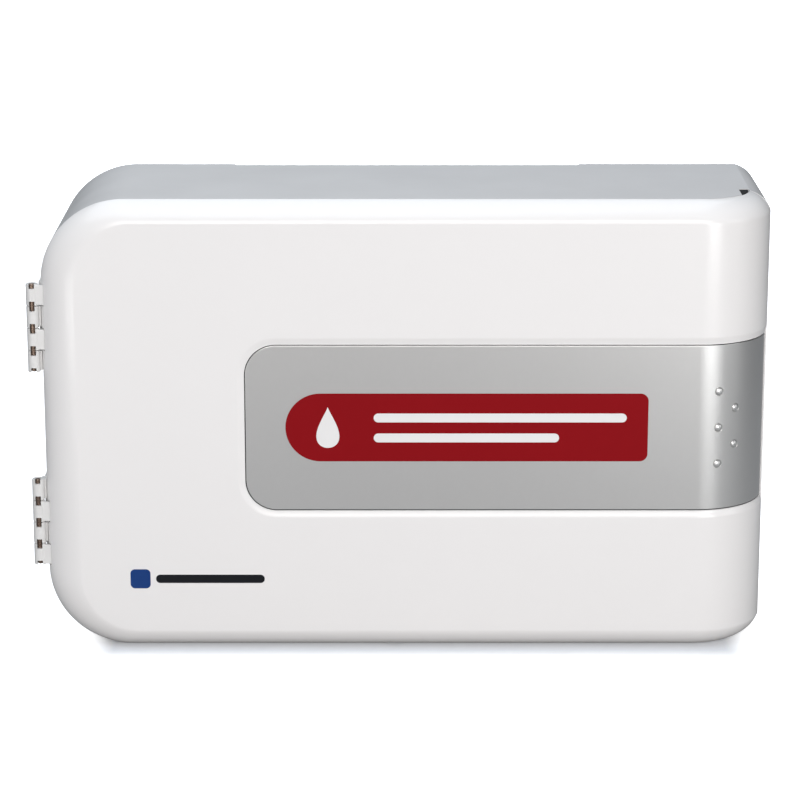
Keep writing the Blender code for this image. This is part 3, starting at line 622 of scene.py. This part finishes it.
def drop_outline(centre, half_width, low, high):
    """A drop: a round belly that narrows along a curve to a point at the top."""
    points, steps = [], 48
    for step in range(steps):
        turn = 2 * math.pi * step / steps
        side = math.sin(turn) * math.sin(turn / 2) ** 1.55
        points.append((centre + half_width * side / 0.83,
                       high + (low - high) * (1 - math.cos(turn)) / 2))
    return points


def face_label():
    """The red film with its white drop, and two plain bars where the real label has words."""
    back = FRONT_Y + PANEL_DEPTH + 0.02
    half = (LABEL_HIGH.z - LABEL_LOW.z) / 2
    outline = rounded(LABEL_LOW.x, LABEL_HIGH.x, LABEL_LOW.z, LABEL_HIGH.z,
                      (half, half - 0.01), (4.3, 4.3), 24)
    film("red_label_film", outline, back, 0.16, RED, "red_film", ["face_label"])
    top = back - 0.15
    film("label_drop", drop_outline(-43.0, 7.45, 115.3, 138.3), top, 0.05, PRINT_WHITE, "white_abs")
    bars = [(-18.2, 118.4, 129.6, 134.6), (-18.2, 82.0, 118.4, 123.4)]
    for index, (left, right, low, high) in enumerate(bars):
        radius = (high - low) / 2 - 0.01
        bar = rounded(left, right, low, high, (radius, radius), (radius, radius), 12)
        film(f"label_bar_{index + 1}", bar, top, 0.05, PRINT_WHITE, "white_abs")


def corner_mark():
    """A small plain mark low on the left of the door: a rounded square and a bar."""
    back = FRONT_Y + 0.02
    square = rounded(-151.5, -140.5, 35.5, 46.5, (2.5, 2.5), (2.5, 2.5), 8)
    film("corner_mark_square", square, back, 0.06, PRINT_BLUE, "red_film")
    bar = rounded(-137.5, -78.0, 38.6, 43.4, (2.3, 2.3), (2.3, 2.3), 8)
    film("corner_mark_bar", bar, back, 0.06, PRINT_DARK, "red_film")


# ---- the cabinet body
NOTCH_LEFT, NOTCH_RIGHT = 179.6, 185.2       # the finger notch at the seam's upper end
NOTCH_FRONT, NOTCH_BACK = -36.0, -17.5
KEYHOLE_X, KEYHOLE_Z = 66.0, 200.0


def body_outline(inset):
    """The tub's outline. Its right corners follow the door's rolled edge."""
    left, right, low, high = LEFT_X + inset, RIGHT_X - inset, inset, HEIGHT - inset
    radius = LEFT_CORNER_R - inset
    corner = [(right - depth, ROLL_HEIGHT * (1 - reach)) for reach, depth in roll_profile()]
    return [*arc((left + radius, low + radius), (radius, radius), 180, 270, CORNER_STEPS),
            *[(across, low + rise) for across, rise in corner],
            *[(across, high - rise) for across, rise in corner[::-1]],
            *arc((left + radius, high - radius), (radius, radius), 90, 180, CORNER_STEPS)]


def wrap_cutter():
    """What the door's wrapped corner takes out of the body."""
    radius, axis = WRAP_R - SEAM_DEPTH - SEAM_GAP, (WRAP_X, WRAP_Y)
    end = math.degrees(DOOR_END_TURN + SEAM_GAP / WRAP_R) - 90
    inner = arc(axis, (radius, radius), -90, end, WRAP_STEPS)
    outer = arc(axis, (WRAP_R, WRAP_R), end, 0, 4)
    outline = [(WRAP_X, FRONT_Y), *inner, *outer, (RIGHT_X + 10, WRAP_Y), (RIGHT_X + 10, FRONT_Y)]
    return prism(outline, -10, HEIGHT + 10, axis="Z")


def keyhole(centre_x, height):
    """What cuts a round entry with a slot above it through the back wall."""
    entry, slot = 4.6, 2.4
    cutter = rod((centre_x, 40, height), (0, 1, 0), 30, entry)
    add(cutter, block((centre_x - slot, 41, height), (centre_x + slot, 69, height + 12)))
    return cutter


def body_shell():
    """The white tub with its wrapped front corner, rear standoffs, keyholes and bosses."""
    front, edge, back_edge = SEAM_Y + SEAM_GAP, 0.5, 1.0
    shell = loft([(body_outline(edge), front), (body_outline(0.3 * edge), front + 0.3 * edge),
                  (body_outline(0.0), front + edge), (body_outline(0.0), BACK_Y - back_edge),
                  (body_outline(0.3 * back_edge), BACK_Y - 0.3 * back_edge),
                  (body_outline(back_edge), BACK_Y)], name="body_shell_fine")
    relief = BACK_Y - BACK_RELIEF
    cut(shell, prism(body_outline(BODY_WALL), FRONT_Y, relief - BACK_WALL))
    cut(shell, wrap_cutter())
    outer = STANDOFF_INNER_X + STANDOFF_WIDTH
    cut(shell, block((-STANDOFF_INNER_X, relief, -9), (STANDOFF_INNER_X, BACK_Y + 5, HEIGHT + 9)))
    for low, high in ((LEFT_X + 12, -outer), (outer, RIGHT_X - 12)):
        corner = LEFT_CORNER_R if low < 0 else 12
        cut(shell, block((low, relief, corner), (high, BACK_Y + 5, HEIGHT - corner)))
    cut(shell, keyhole(-KEYHOLE_X, KEYHOLE_Z), keyhole(KEYHOLE_X, KEYHOLE_Z))
    for centre in HINGE_HEIGHTS.values():
        for side in (-1, 1):
            height = centre + side * LEAF_SCREW_OFFSET
            start = LEFT_X + BODY_WALL - 1.0
            add(shell, rod((start, BODY_SCREW_Y, height), (1, 0, 0), 7.0, BOSS_R))
            cut(shell, rod((LEFT_X - 5, BODY_SCREW_Y, height), (1, 0, 0), 20, SCREW_HOLE_R, 24))
    for side in (-1, 1):
        start = (CATCH_BORE_X, CATCH_SCREW_Y, CATCH_Z + side * CATCH_SCREW_OFFSET)
        cut(shell, rod(start, (1, 0, 0), 5.8, SCREW_HOLE_R, 24))
    cut(shell, thumb_notch())
    notch = rounded(NOTCH_LEFT, NOTCH_RIGHT, NOTCH_FRONT, NOTCH_BACK, (1.2, 1.2), (1.2, 1.2), 6)
    cut(shell, prism(notch, HEIGHT - 6, HEIGHT + 5, axis="Z"))
    place(shell, "cabinet", ABS, "white_abs", ["body_shell"], smooth=28.0)


# ---- hinges and screws
def knuckle_spans(hinge, leaf):
    """Heights of one leaf's knuckles, from the hinge's middle. The two hinges are mirrored."""
    top_down = range(KNUCKLES) if hinge == "upper" else range(KNUCKLES - 1, -1, -1)
    spans = []
    for index, step in enumerate(top_down):
        high = HINGE_HALF - index * KNUCKLE_PITCH
        owner = "door" if step % 2 == 0 else "body"
        if owner == leaf:
            spans.append((high - KNUCKLE_PITCH + GAP / 2, high - GAP / 2))
    return spans


def knuckle(base_z, length):
    """A barrel with rounded rims."""
    rim = 0.45
    half = [(0, 0), (BARREL_R - rim, 0), (BARREL_R - 0.3 * rim, 0.3 * rim), (BARREL_R, rim)]
    return turned(mirrored(half, length), (AXIS_X, AXIS_Y, base_z), (0, 0, 1), sides=64)


def hinge_leaf(hinge, centre, side):
    """One moulded leaf: its knuckles with their windows, the arms, and the plate."""
    plate, arm, bore_from, bore_axis = LEAVES[side]
    leaf = block((*plate[0], centre - HINGE_HALF), (*plate[1], centre + HINGE_HALF), bevel=0.35)
    leaf.name = f"hinge_{hinge}_{side}_leaf_fine"
    for low, high in knuckle_spans(hinge, side):
        add(leaf, block((*arm[0], centre + low + 0.5), (*arm[1], centre + high - 0.5), bevel=0.25))
        add(leaf, knuckle(centre + low, high - low))
    cut(leaf, rod((AXIS_X, AXIS_Y, centre - 40), (0, 0, 1), 80, PIN_HOLE_R))
    for step in range(KNUCKLES + 1):
        height = centre - HINGE_HALF + step * KNUCKLE_PITCH
        cut(leaf, block((AXIS_X - WINDOW_HALF_WIDE, AXIS_Y - 6, height - WINDOW_HALF_HIGH),
                        (AXIS_X + WINDOW_HALF_WIDE, AXIS_Y - 0.8, height + WINDOW_HALF_HIGH), bevel=0.3))
    for end in (-1, 1):
        cut(leaf, rod((*bore_from, centre + end * LEAF_SCREW_OFFSET), bore_axis, 12, SCREW_HOLE_R, 24))
    place(leaf, "cabinet" if side == "body" else "door", HINGE, "hinge_plastic",
          [f"hinge_{hinge}_{side}_leaf"])


def screw(name, seat, axis, length, body):
    """A pan-head screw with a domed top, a cross recess and a threaded shank."""
    rim = HEAD_R - 0.7
    profile = [(0.0, -HEAD_HIGH), (rim * 0.6, 0.04 - HEAD_HIGH), (rim, 0.22 - HEAD_HIGH),
               (HEAD_R - 0.2, 0.6 - HEAD_HIGH), (HEAD_R, 1.0 - HEAD_HIGH), (HEAD_R, -0.1),
               (HEAD_R - 0.1, 0.0), (SHANK_R, 0.0)]
    pitch, along = 0.7, 0.4
    while along < length - 1.6:
        profile += [(SHANK_R, along), (SHANK_R - 0.3, along + pitch / 2)]
        along += pitch
    profile += [(SHANK_R - 0.3, length - 1.2), (0.0, length)]
    piece = turned(profile, (0, 0, 0), (0, 0, 1), name=f"{name}_fine", sides=32)
    for long_x, long_y in ((1.35, 0.28), (0.28, 1.35)):
        cut(piece, block((-long_x, -long_y, -HEAD_HIGH - 1), (long_x, long_y, 0.9 - HEAD_HIGH)))
    turn = Vector((0, 0, 1)).rotation_difference(Vector(axis)).to_matrix().to_4x4()
    spin = Matrix.Rotation(random.Random(name).uniform(0, math.pi / 2), 4, "Z")
    piece.data.transform(Matrix.Translation(Vector(seat)) @ turn @ spin)
    place(piece, body, ZINC, "steel", [name])


def hinges():
    for name, centre in HINGE_HEIGHTS.items():
        hinge_leaf(name, centre, "body")
        hinge_leaf(name, centre, "door")
        half = HINGE_HALF - 0.4
        profile = mirrored([(0, 0), (PIN_R - 0.4, 0), (PIN_R, 0.4)], 2 * half)
        pin = turned(profile, (AXIS_X, AXIS_Y, centre - half), (0, 0, 1), name=f"hinge_{name}_pin_fine")
        place(pin, "cabinet", PIN, "steel", [f"hinge_{name}_pin"])
        for end, word in ((1, "top"), (-1, "bottom")):
            height = centre + end * LEAF_SCREW_OFFSET
            seat = (LEFT_X - 1.8 - GAP, BODY_SCREW_Y, height)
            screw(f"hinge_{name}_body_screw_{word}", seat, (1, 0, 0), 8.5, "cabinet")
            seat = (DOOR_SCREW_X, SEAM_Y - 0.1, height)
            screw(f"hinge_{name}_door_screw_{word}", seat, (0, -1, 0), 6.5, "door")


# ---- fittings
def refined(node, width, material, slot, body="cabinet"):
    """A CAD node's own shape, with its flat faces merged and its edges rounded."""
    piece = new_object(f"{node}_fine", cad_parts[node].data.copy())
    piece.data.transform(Matrix.Scale(1 / MM, 4))
    with opened(piece) as data:
        bmesh.ops.remove_doubles(data, verts=data.verts[:], dist=0.002)
    with opened(piece) as data:
        bmesh.ops.dissolve_limit(data, angle_limit=math.radians(1.0), verts=data.verts[:],
                                 edges=data.edges[:])
    bevel = piece.modifiers.new("edges", "BEVEL")
    bevel.width = width
    bevel.segments = 2
    bevel.limit_method = "ANGLE"
    bevel.angle_limit = math.radians(40.0)
    bevel.use_clamp_overlap = True
    apply_modifiers(piece)
    return place(piece, body, material, slot, [node])


def catch():
    wall = RIGHT_X - BODY_WALL - GAP
    refined("catch_housing", 0.4, GREY, "grey_plastic")
    refined("catch_magnet", 0.2, MAGNET, "magnet")
    refined("catch_strike", 0.25, ZINC, "steel", "door")
    for side, word in ((-1, "bottom"), (1, "top")):
        seat = (wall - 2.2 - GAP, CATCH_SCREW_Y, CATCH_Z + side * CATCH_SCREW_OFFSET)
        screw(f"catch_screw_{word}", seat, (1, 0, 0), 3.8, "cabinet")
        seat = (STRIKE_X, STRIKE_Y + STRIKE_THICK + GAP, CATCH_Z + side * STRIKE_SCREW_OFFSET)
        screw(f"strike_screw_{word}", seat, (0, -1, 0), 7.0, "door")


def fittings():
    refined("bay_divider", 0.3, ABS_INNER, "white_abs")
    refined("bench_shelf", 0.6, ABS_INNER, "white_abs")
    refined("tourniquet_cradle", 0.6, GREY, "grey_plastic")


# ---- soft goods
def crumple(point, size, strength):
    """A smooth vector field that creases a wrapper."""
    fold = noise.turbulence_vector(point / size, 3, False, noise_basis="PERLIN_ORIGINAL")
    ridge = 1.0 - abs(noise.noise(point / (size * 0.55) + Vector((7.1, 3.3, 1.7)))) * 2.0
    return (fold * 0.6 + Vector((0, 0, 0.25)) * ridge) * strength


def inflate(piece, pressure, cap):
    """Swell a closed mesh, in metres, as cloth under pressure, moving no point more than cap."""
    rest = [vert.co.copy() for vert in piece.data.vertices]
    scene = bpy.context.scene
    cloth = piece.modifiers.new("cloth", "CLOTH")
    cloth.settings.use_pressure = True
    cloth.settings.uniform_pressure_force = pressure
    cloth.settings.quality = 5
    cloth.settings.mass = 0.1
    cloth.settings.tension_stiffness = 20
    cloth.settings.bending_stiffness = 0.3
    cloth.settings.effector_weights.gravity = 0.0
    for step in range(1, 21):
        scene.frame_set(step)
    evaluated = piece.evaluated_get(bpy.context.evaluated_depsgraph_get())
    swollen = [vert.co.copy() for vert in evaluated.data.vertices]
    piece.modifiers.clear()
    scene.frame_set(1)
    for vert, old, new in zip(piece.data.vertices, rest, swollen):
        move = new - old
        vert.co = old + move * min(1.0, cap / max(move.length, 1e-9))


def seal(low, high, axis, waves):
    """One crimped end seal of a pouch: a thin fin, in millimetres, with ridges across it."""
    data = bmesh.new()
    long_axis = 2 if axis == 0 else 0
    count, across, thick = 72, 6, 0.7
    middle_y = (low.y + high.y) / 2
    grids = []
    for side in (-1, 1):
        grid = []
        for i in range(count + 1):
            row = []
            for j in range(across + 1):
                point = Vector((0.0, middle_y, 0.0))
                point[long_axis] = low[long_axis] + (high[long_axis] - low[long_axis]) * i / count
                point[axis] = low[axis] + (high[axis] - low[axis]) * j / across
                wave = math.sin(i / count * waves * 2 * math.pi) * 1.2 * (0.3 + 0.7 * j / across)
                point.y += wave + side * thick / 2
                row.append(data.verts.new(point))
            grid.append(row)
        grids.append(grid)
        for first, second in zip(grid, grid[1:]):
            bridge(data, first, second)
    lower, upper = grids
    for edge in (0, -1):
        bridge(data, [row[edge] for row in lower], [row[edge] for row in upper])
        bridge(data, lower[edge], upper[edge])
    return finish("seal", data)


def pouch(node, material, slot, axis, wrinkle, seed):
    """A sealed pack: a swollen, creased wrapper with a crimped seal at each end along one axis."""
    low, high = node_box(node)
    size = high - low
    fin = 7.0
    inner_low, inner_high = low + Vector((3, 3, 2)), high - Vector((3, 3, 3))
    inner_low[axis] += fin
    inner_high[axis] -= fin
    core = block(inner_low, inner_high, bevel=min(size) * 0.16, segments=3)
    core.data.transform(Matrix.Scale(MM, 4))
    remesh = core.modifiers.new("remesh", "REMESH")
    remesh.mode = "VOXEL"
    remesh.voxel_size = 0.0042
    apply_modifiers(core)
    inflate(core, 4.0, 0.0035)
    core.data.transform(Matrix.Scale(1 / MM, 4))
    subdivide = core.modifiers.new("smooth", "SUBSURF")
    subdivide.levels = 2
    apply_modifiers(core)
    middle = (low + high) / 2
    offset = Vector((seed * 31.7, seed * 17.3, seed * 5.9))
    half = size / 2
    for vert in core.data.vertices:
        point = vert.co.copy()
        along = abs(point[axis] - middle[axis]) / half[axis]
        vert.co += (crumple(point + offset, 26.0, wrinkle)
                    + crumple(point + offset * 2, 8.0, wrinkle * 0.35))
        pinch = max(0.0, (along - 0.62) / 0.38) ** 2
        vert.co.y = middle.y + (vert.co.y - middle.y) * (1 - 0.62 * pinch)
        for side in range(3):
            vert.co[side] = min(max(vert.co[side], low[side] + 0.3), high[side] - 0.3)
    ends = []
    for side in (-1, 1):
        fin_low, fin_high = low + Vector((4, 4, 3)), high - Vector((4, 4, 4))
        if side < 0:
            fin_low[axis], fin_high[axis] = low[axis] + 0.4, low[axis] + fin + 6
        else:
            fin_low[axis], fin_high[axis] = high[axis] - fin - 6, high[axis] - 0.4
        ends.append(seal(fin_low, fin_high, axis, 2 + seed % 3))
    join(core, *ends)
    core.name = f"{node}_pack"
    place(core, "cabinet", material, slot, [node], smooth=180.0)


def join(first, *others):
    """Put other objects' meshes into the first one's."""
    with opened(first) as data:
        for other in others:
            data.from_mesh(other.data)
            bpy.data.objects.remove(other)


def soft_goods():
    pouch("pressure_dressing_1", OLIVE, "olive_wrap", 2, 1.6, 1)
    pouch("pressure_dressing_2", OLIVE, "olive_wrap", 2, 1.6, 2)
    pouch("gauze_pack_1", FOIL, "foil_wrap", 0, 1.4, 3)
    pouch("gauze_pack_2", FOIL, "foil_wrap", 0, 1.4, 4)
    pouch("glove_pouch", BLUE_FILM, "foil_wrap", 0, 1.2, 5)


# ---- the tourniquet
def ribbon(path, thick, low_x, high_x, name):
    """A flat strap that follows points in Y and Z, with softened edges along X."""
    data = bmesh.new()
    edge = 0.45 * thick
    columns = [(low_x, 0.30), (low_x + 0.4 * edge, 0.75), (low_x + edge, 1.0)]
    columns += [(low_x + edge + (high_x - low_x - 2 * edge) * step / 6, 1.0) for step in range(1, 6)]
    columns += [(high_x - edge, 1.0), (high_x - 0.4 * edge, 0.75), (high_x, 0.30)]
    rings = []
    for index, (y, z) in enumerate(path):
        before, after = path[max(index - 1, 0)], path[min(index + 1, len(path) - 1)]
        along = Vector((after[0] - before[0], after[1] - before[1])).normalized()
        normal = Vector((-along.y, along.x))
        rise_y, rise_z = normal.x * thick / 2, normal.y * thick / 2
        upper = [(x, y + rise_y * part, z + rise_z * part) for x, part in columns]
        lower = [(x, y - rise_y * part, z - rise_z * part) for x, part in columns]
        rings.append([data.verts.new(point) for point in upper + lower[::-1]])
    for first, second in zip(rings, rings[1:]):
        bridge(data, first, second, closed=True)
    data.faces.new(rings[0])
    data.faces.new(rings[-1])
    return finish(name, data)


def webbing_pack():
    """The long strap, folded back and forth into a flat bundle."""
    low, high = node_box("webbing_pack")
    thick, runs = 2.2, 8
    pitch = (high.y - low.y - thick) / (runs - 1)
    path = []
    turn_r = pitch / 2
    for run in range(runs):
        y = low.y + thick / 2 + run * pitch
        shorten = 3.5 * abs(math.sin(run * 2.1)) if run not in (0, runs - 1) else 0.0
        bottom, top = low.z + turn_r + thick / 2 + 0.2, high.z - turn_r - thick / 2 - 0.2 - shorten
        ends = (bottom, top) if run % 2 == 0 else (top, bottom)
        for step in range(13):
            z = ends[0] + (ends[1] - ends[0]) * step / 12
            sway = 0.25 * math.sin(step * 0.9 + run * 1.7) if 0 < step < 12 else 0.0
            path.append((y + sway, z))
        if run < runs - 1:
            sign = 1 if run % 2 == 0 else -1
            for step in range(1, 8):
                turn = math.pi * step / 8
                path.append((y + turn_r - turn_r * math.cos(turn),
                             ends[1] + sign * turn_r * math.sin(turn)))
    strap = ribbon(path, thick, low.x + 0.2, high.x - 0.2, "webbing_pack_strap")
    place(strap, "cabinet", WEBBING, "black_webbing", ["webbing_pack"], smooth=50.0)


def windlass():
    """The rod, with its ribbed grips and rounded ends."""
    steps, grips = 6, 9
    end = [(0.0, 0.0)]
    for step in range(1, steps + 1):
        turn = math.pi / 2 * step / steps
        end.append((WINDLASS_R * math.sin(turn), 2.2 * (1 - math.cos(turn))))
    for index in range(grips):
        start = 6.0 + index * 3.2
        end += [(WINDLASS_R, start), (WINDLASS_R - 0.55, start + 0.6),
                (WINDLASS_R - 0.55, start + 1.3), (WINDLASS_R, start + 1.9)]
    axis = Vector((math.sin(WINDLASS_TILT), 0, math.cos(WINDLASS_TILT)))
    base = Vector((STRAP_X, WINDLASS_Y, WINDLASS_Z)) - axis * WINDLASS_HALF
    piece = turned(mirrored(end, 2 * WINDLASS_HALF), base, axis, name="windlass_rod_fine")
    place(piece, "windlass", BLACK, "black_plastic", ["windlass_rod"])


def tourniquet():
    webbing_pack()
    windlass()
    refined("base_plate", 0.5, BLACK, "black_plastic")
    refined("windlass_clip", 0.6, BLACK, "black_plastic")
    refined("strap_buckle", 0.6, BLACK, "black_plastic")
    refined("inner_band", 0.3, WEBBING, "black_webbing")
    refined("time_strap", 0.4, TIME_TAPE, "white_webbing")


# ---- camera, light and floor
def camera():
    """A long lens above the cabinet, tilted down to it."""
    data = bpy.data.cameras.new("camera")
    data.sensor_width = 36.0
    data.lens = 133.5
    data.clip_end = 50.0
    view = new_object("camera", data)
    view.location = (-0.004, -1.600, 0.558)
    view.rotation_euler = (math.radians(90.0 - 15.08), 0.0, 0.0)
    bpy.context.scene.camera = view


def area_light(name, location, target, size, power, colour=(1, 1, 1)):
    data = bpy.data.lights.new(name, "AREA")
    data.shape = "RECTANGLE"
    data.size, data.size_y = size
    data.energy = power
    data.color = colour
    lamp = new_object(name, data)
    lamp.location = location
    lamp.visible_camera = False
    lamp.rotation_euler = (Vector(target) - Vector(location)).to_track_quat("-Z", "Y").to_euler()


def lights():
    middle = (0.0, -0.03, 0.13)
    area_light("key", (0.05, -1.9, 0.84), middle, (1.5, 1.0), 22.0, (1.0, 0.955, 0.935))
    area_light("top", (-0.25, 0.05, 1.40), middle, (2.2, 1.4), 17.6, (0.88, 0.94, 1.0))
    area_light("strip", (0.62, -1.05, 0.15), (0.16, -0.05, 0.13), (0.38, 0.28), 2.6)
    area_light("low_left", (-0.44, -0.58, 0.06), (-0.17, -0.05, 0.12), (0.30, 0.10), 0.26)
    area_light("right", (1.5, -0.75, 0.40), middle, (0.7, 0.8), 2.6)
    area_light("back", (0.0, 1.5, 0.115), middle, (0.6, 0.20), 5.2, (0.96, 0.98, 1.0))
    world = bpy.data.worlds.new("studio")
    world.use_nodes = True
    tree = world.node_tree
    background = tree.nodes["Background"]
    background.inputs["Color"].default_value = (0.80, 0.84, 0.92, 1)
    seen = add_node(tree, "LightPath", {}).outputs["Is Camera Ray"]
    level = add_node(tree, "MapRange", {"To Min": 0.14, "To Max": 1.3, "Value": seen})
    tree.links.new(level.outputs["Result"], background.inputs["Strength"])
    bpy.context.scene.world = world
    bpy.context.scene.view_settings.view_transform = "Standard"


# The floor's glow drops away round this box: a painted contact shadow.
FOOTPRINT_X = 0.007          # the middle of what touches the floor, in metres
FOOTPRINT = (0.168, 0.057)   # half its width and depth


def floor():
    """A pale floor that glows a little to the eye, so that it reads as a white sweep; the glow falls
    away close round the footprint, a painted contact shadow that the floor's real shadow deepens.
    """
    data = bmesh.new()
    bmesh.ops.create_grid(data, x_segments=1, y_segments=1, size=8000.0)
    bmesh.ops.translate(data, vec=(0, 0, -0.15), verts=data.verts)
    sweep = finish("floor", data)
    sweep.data.transform(Matrix.Scale(MM, 4))
    material = bpy.data.materials.new("floor")
    material.use_nodes = True
    tree = material.node_tree
    shader = tree.nodes["Principled BSDF"]
    shader.inputs["Roughness"].default_value = 0.9
    shader.inputs["Specular IOR Level"].default_value = 0.1
    shader.inputs["Emission Color"].default_value = (1, 1, 1, 1)
    seen = add_node(tree, "LightPath", {}).outputs["Is Camera Ray"]
    shade = add_node(tree, "Mix", {"A": (0.39, 0.39, 0.39, 1), "B": (0.79, 0.82, 0.86, 1),
                                   "Factor": seen}, data_type="RGBA")
    tree.links.new(shade.outputs["Result"], shader.inputs["Base Color"])
    last = add_node(tree, "TexCoord", {}).outputs["Object"]
    for operation, operand in (("SUBTRACT", (FOOTPRINT_X, 0.0, 0.0)), ("ABSOLUTE", None),
                               ("SUBTRACT", (*FOOTPRINT, 0.0)), ("MAXIMUM", (0.0, 0.0, 0.0)),
                               ("MULTIPLY", (1.35, 1.0, 0.0)), ("LENGTH", None)):
        reach = add_node(tree, "VectorMath", {0: last, **({1: operand} if operand else {})},
                         operation=operation)
        last = reach.outputs["Value" if operation == "LENGTH" else "Vector"]
    contact_shadow_ramp = add_node(tree, "MapRange", {"From Min": -0.002, "From Max": 0.027, "To Min": 0.10,
                                       "To Max": 0.97, "Value": last},
                    interpolation_type="SMOOTHSTEP")
    glow = add_node(tree, "Math", {0: seen, 1: contact_shadow_ramp.outputs["Result"]}, operation="MULTIPLY")
    tree.links.new(glow.outputs["Value"], shader.inputs["Emission Strength"])
    sweep.data.materials.append(material)


camera()
lights()
floor()
body_shell()
door_shell()
face_panel()
panel_shade_line()
seam_notch_shade()
face_label()
corner_mark()
hinges()
catch()
fittings()
soft_goods()
tourniquet()
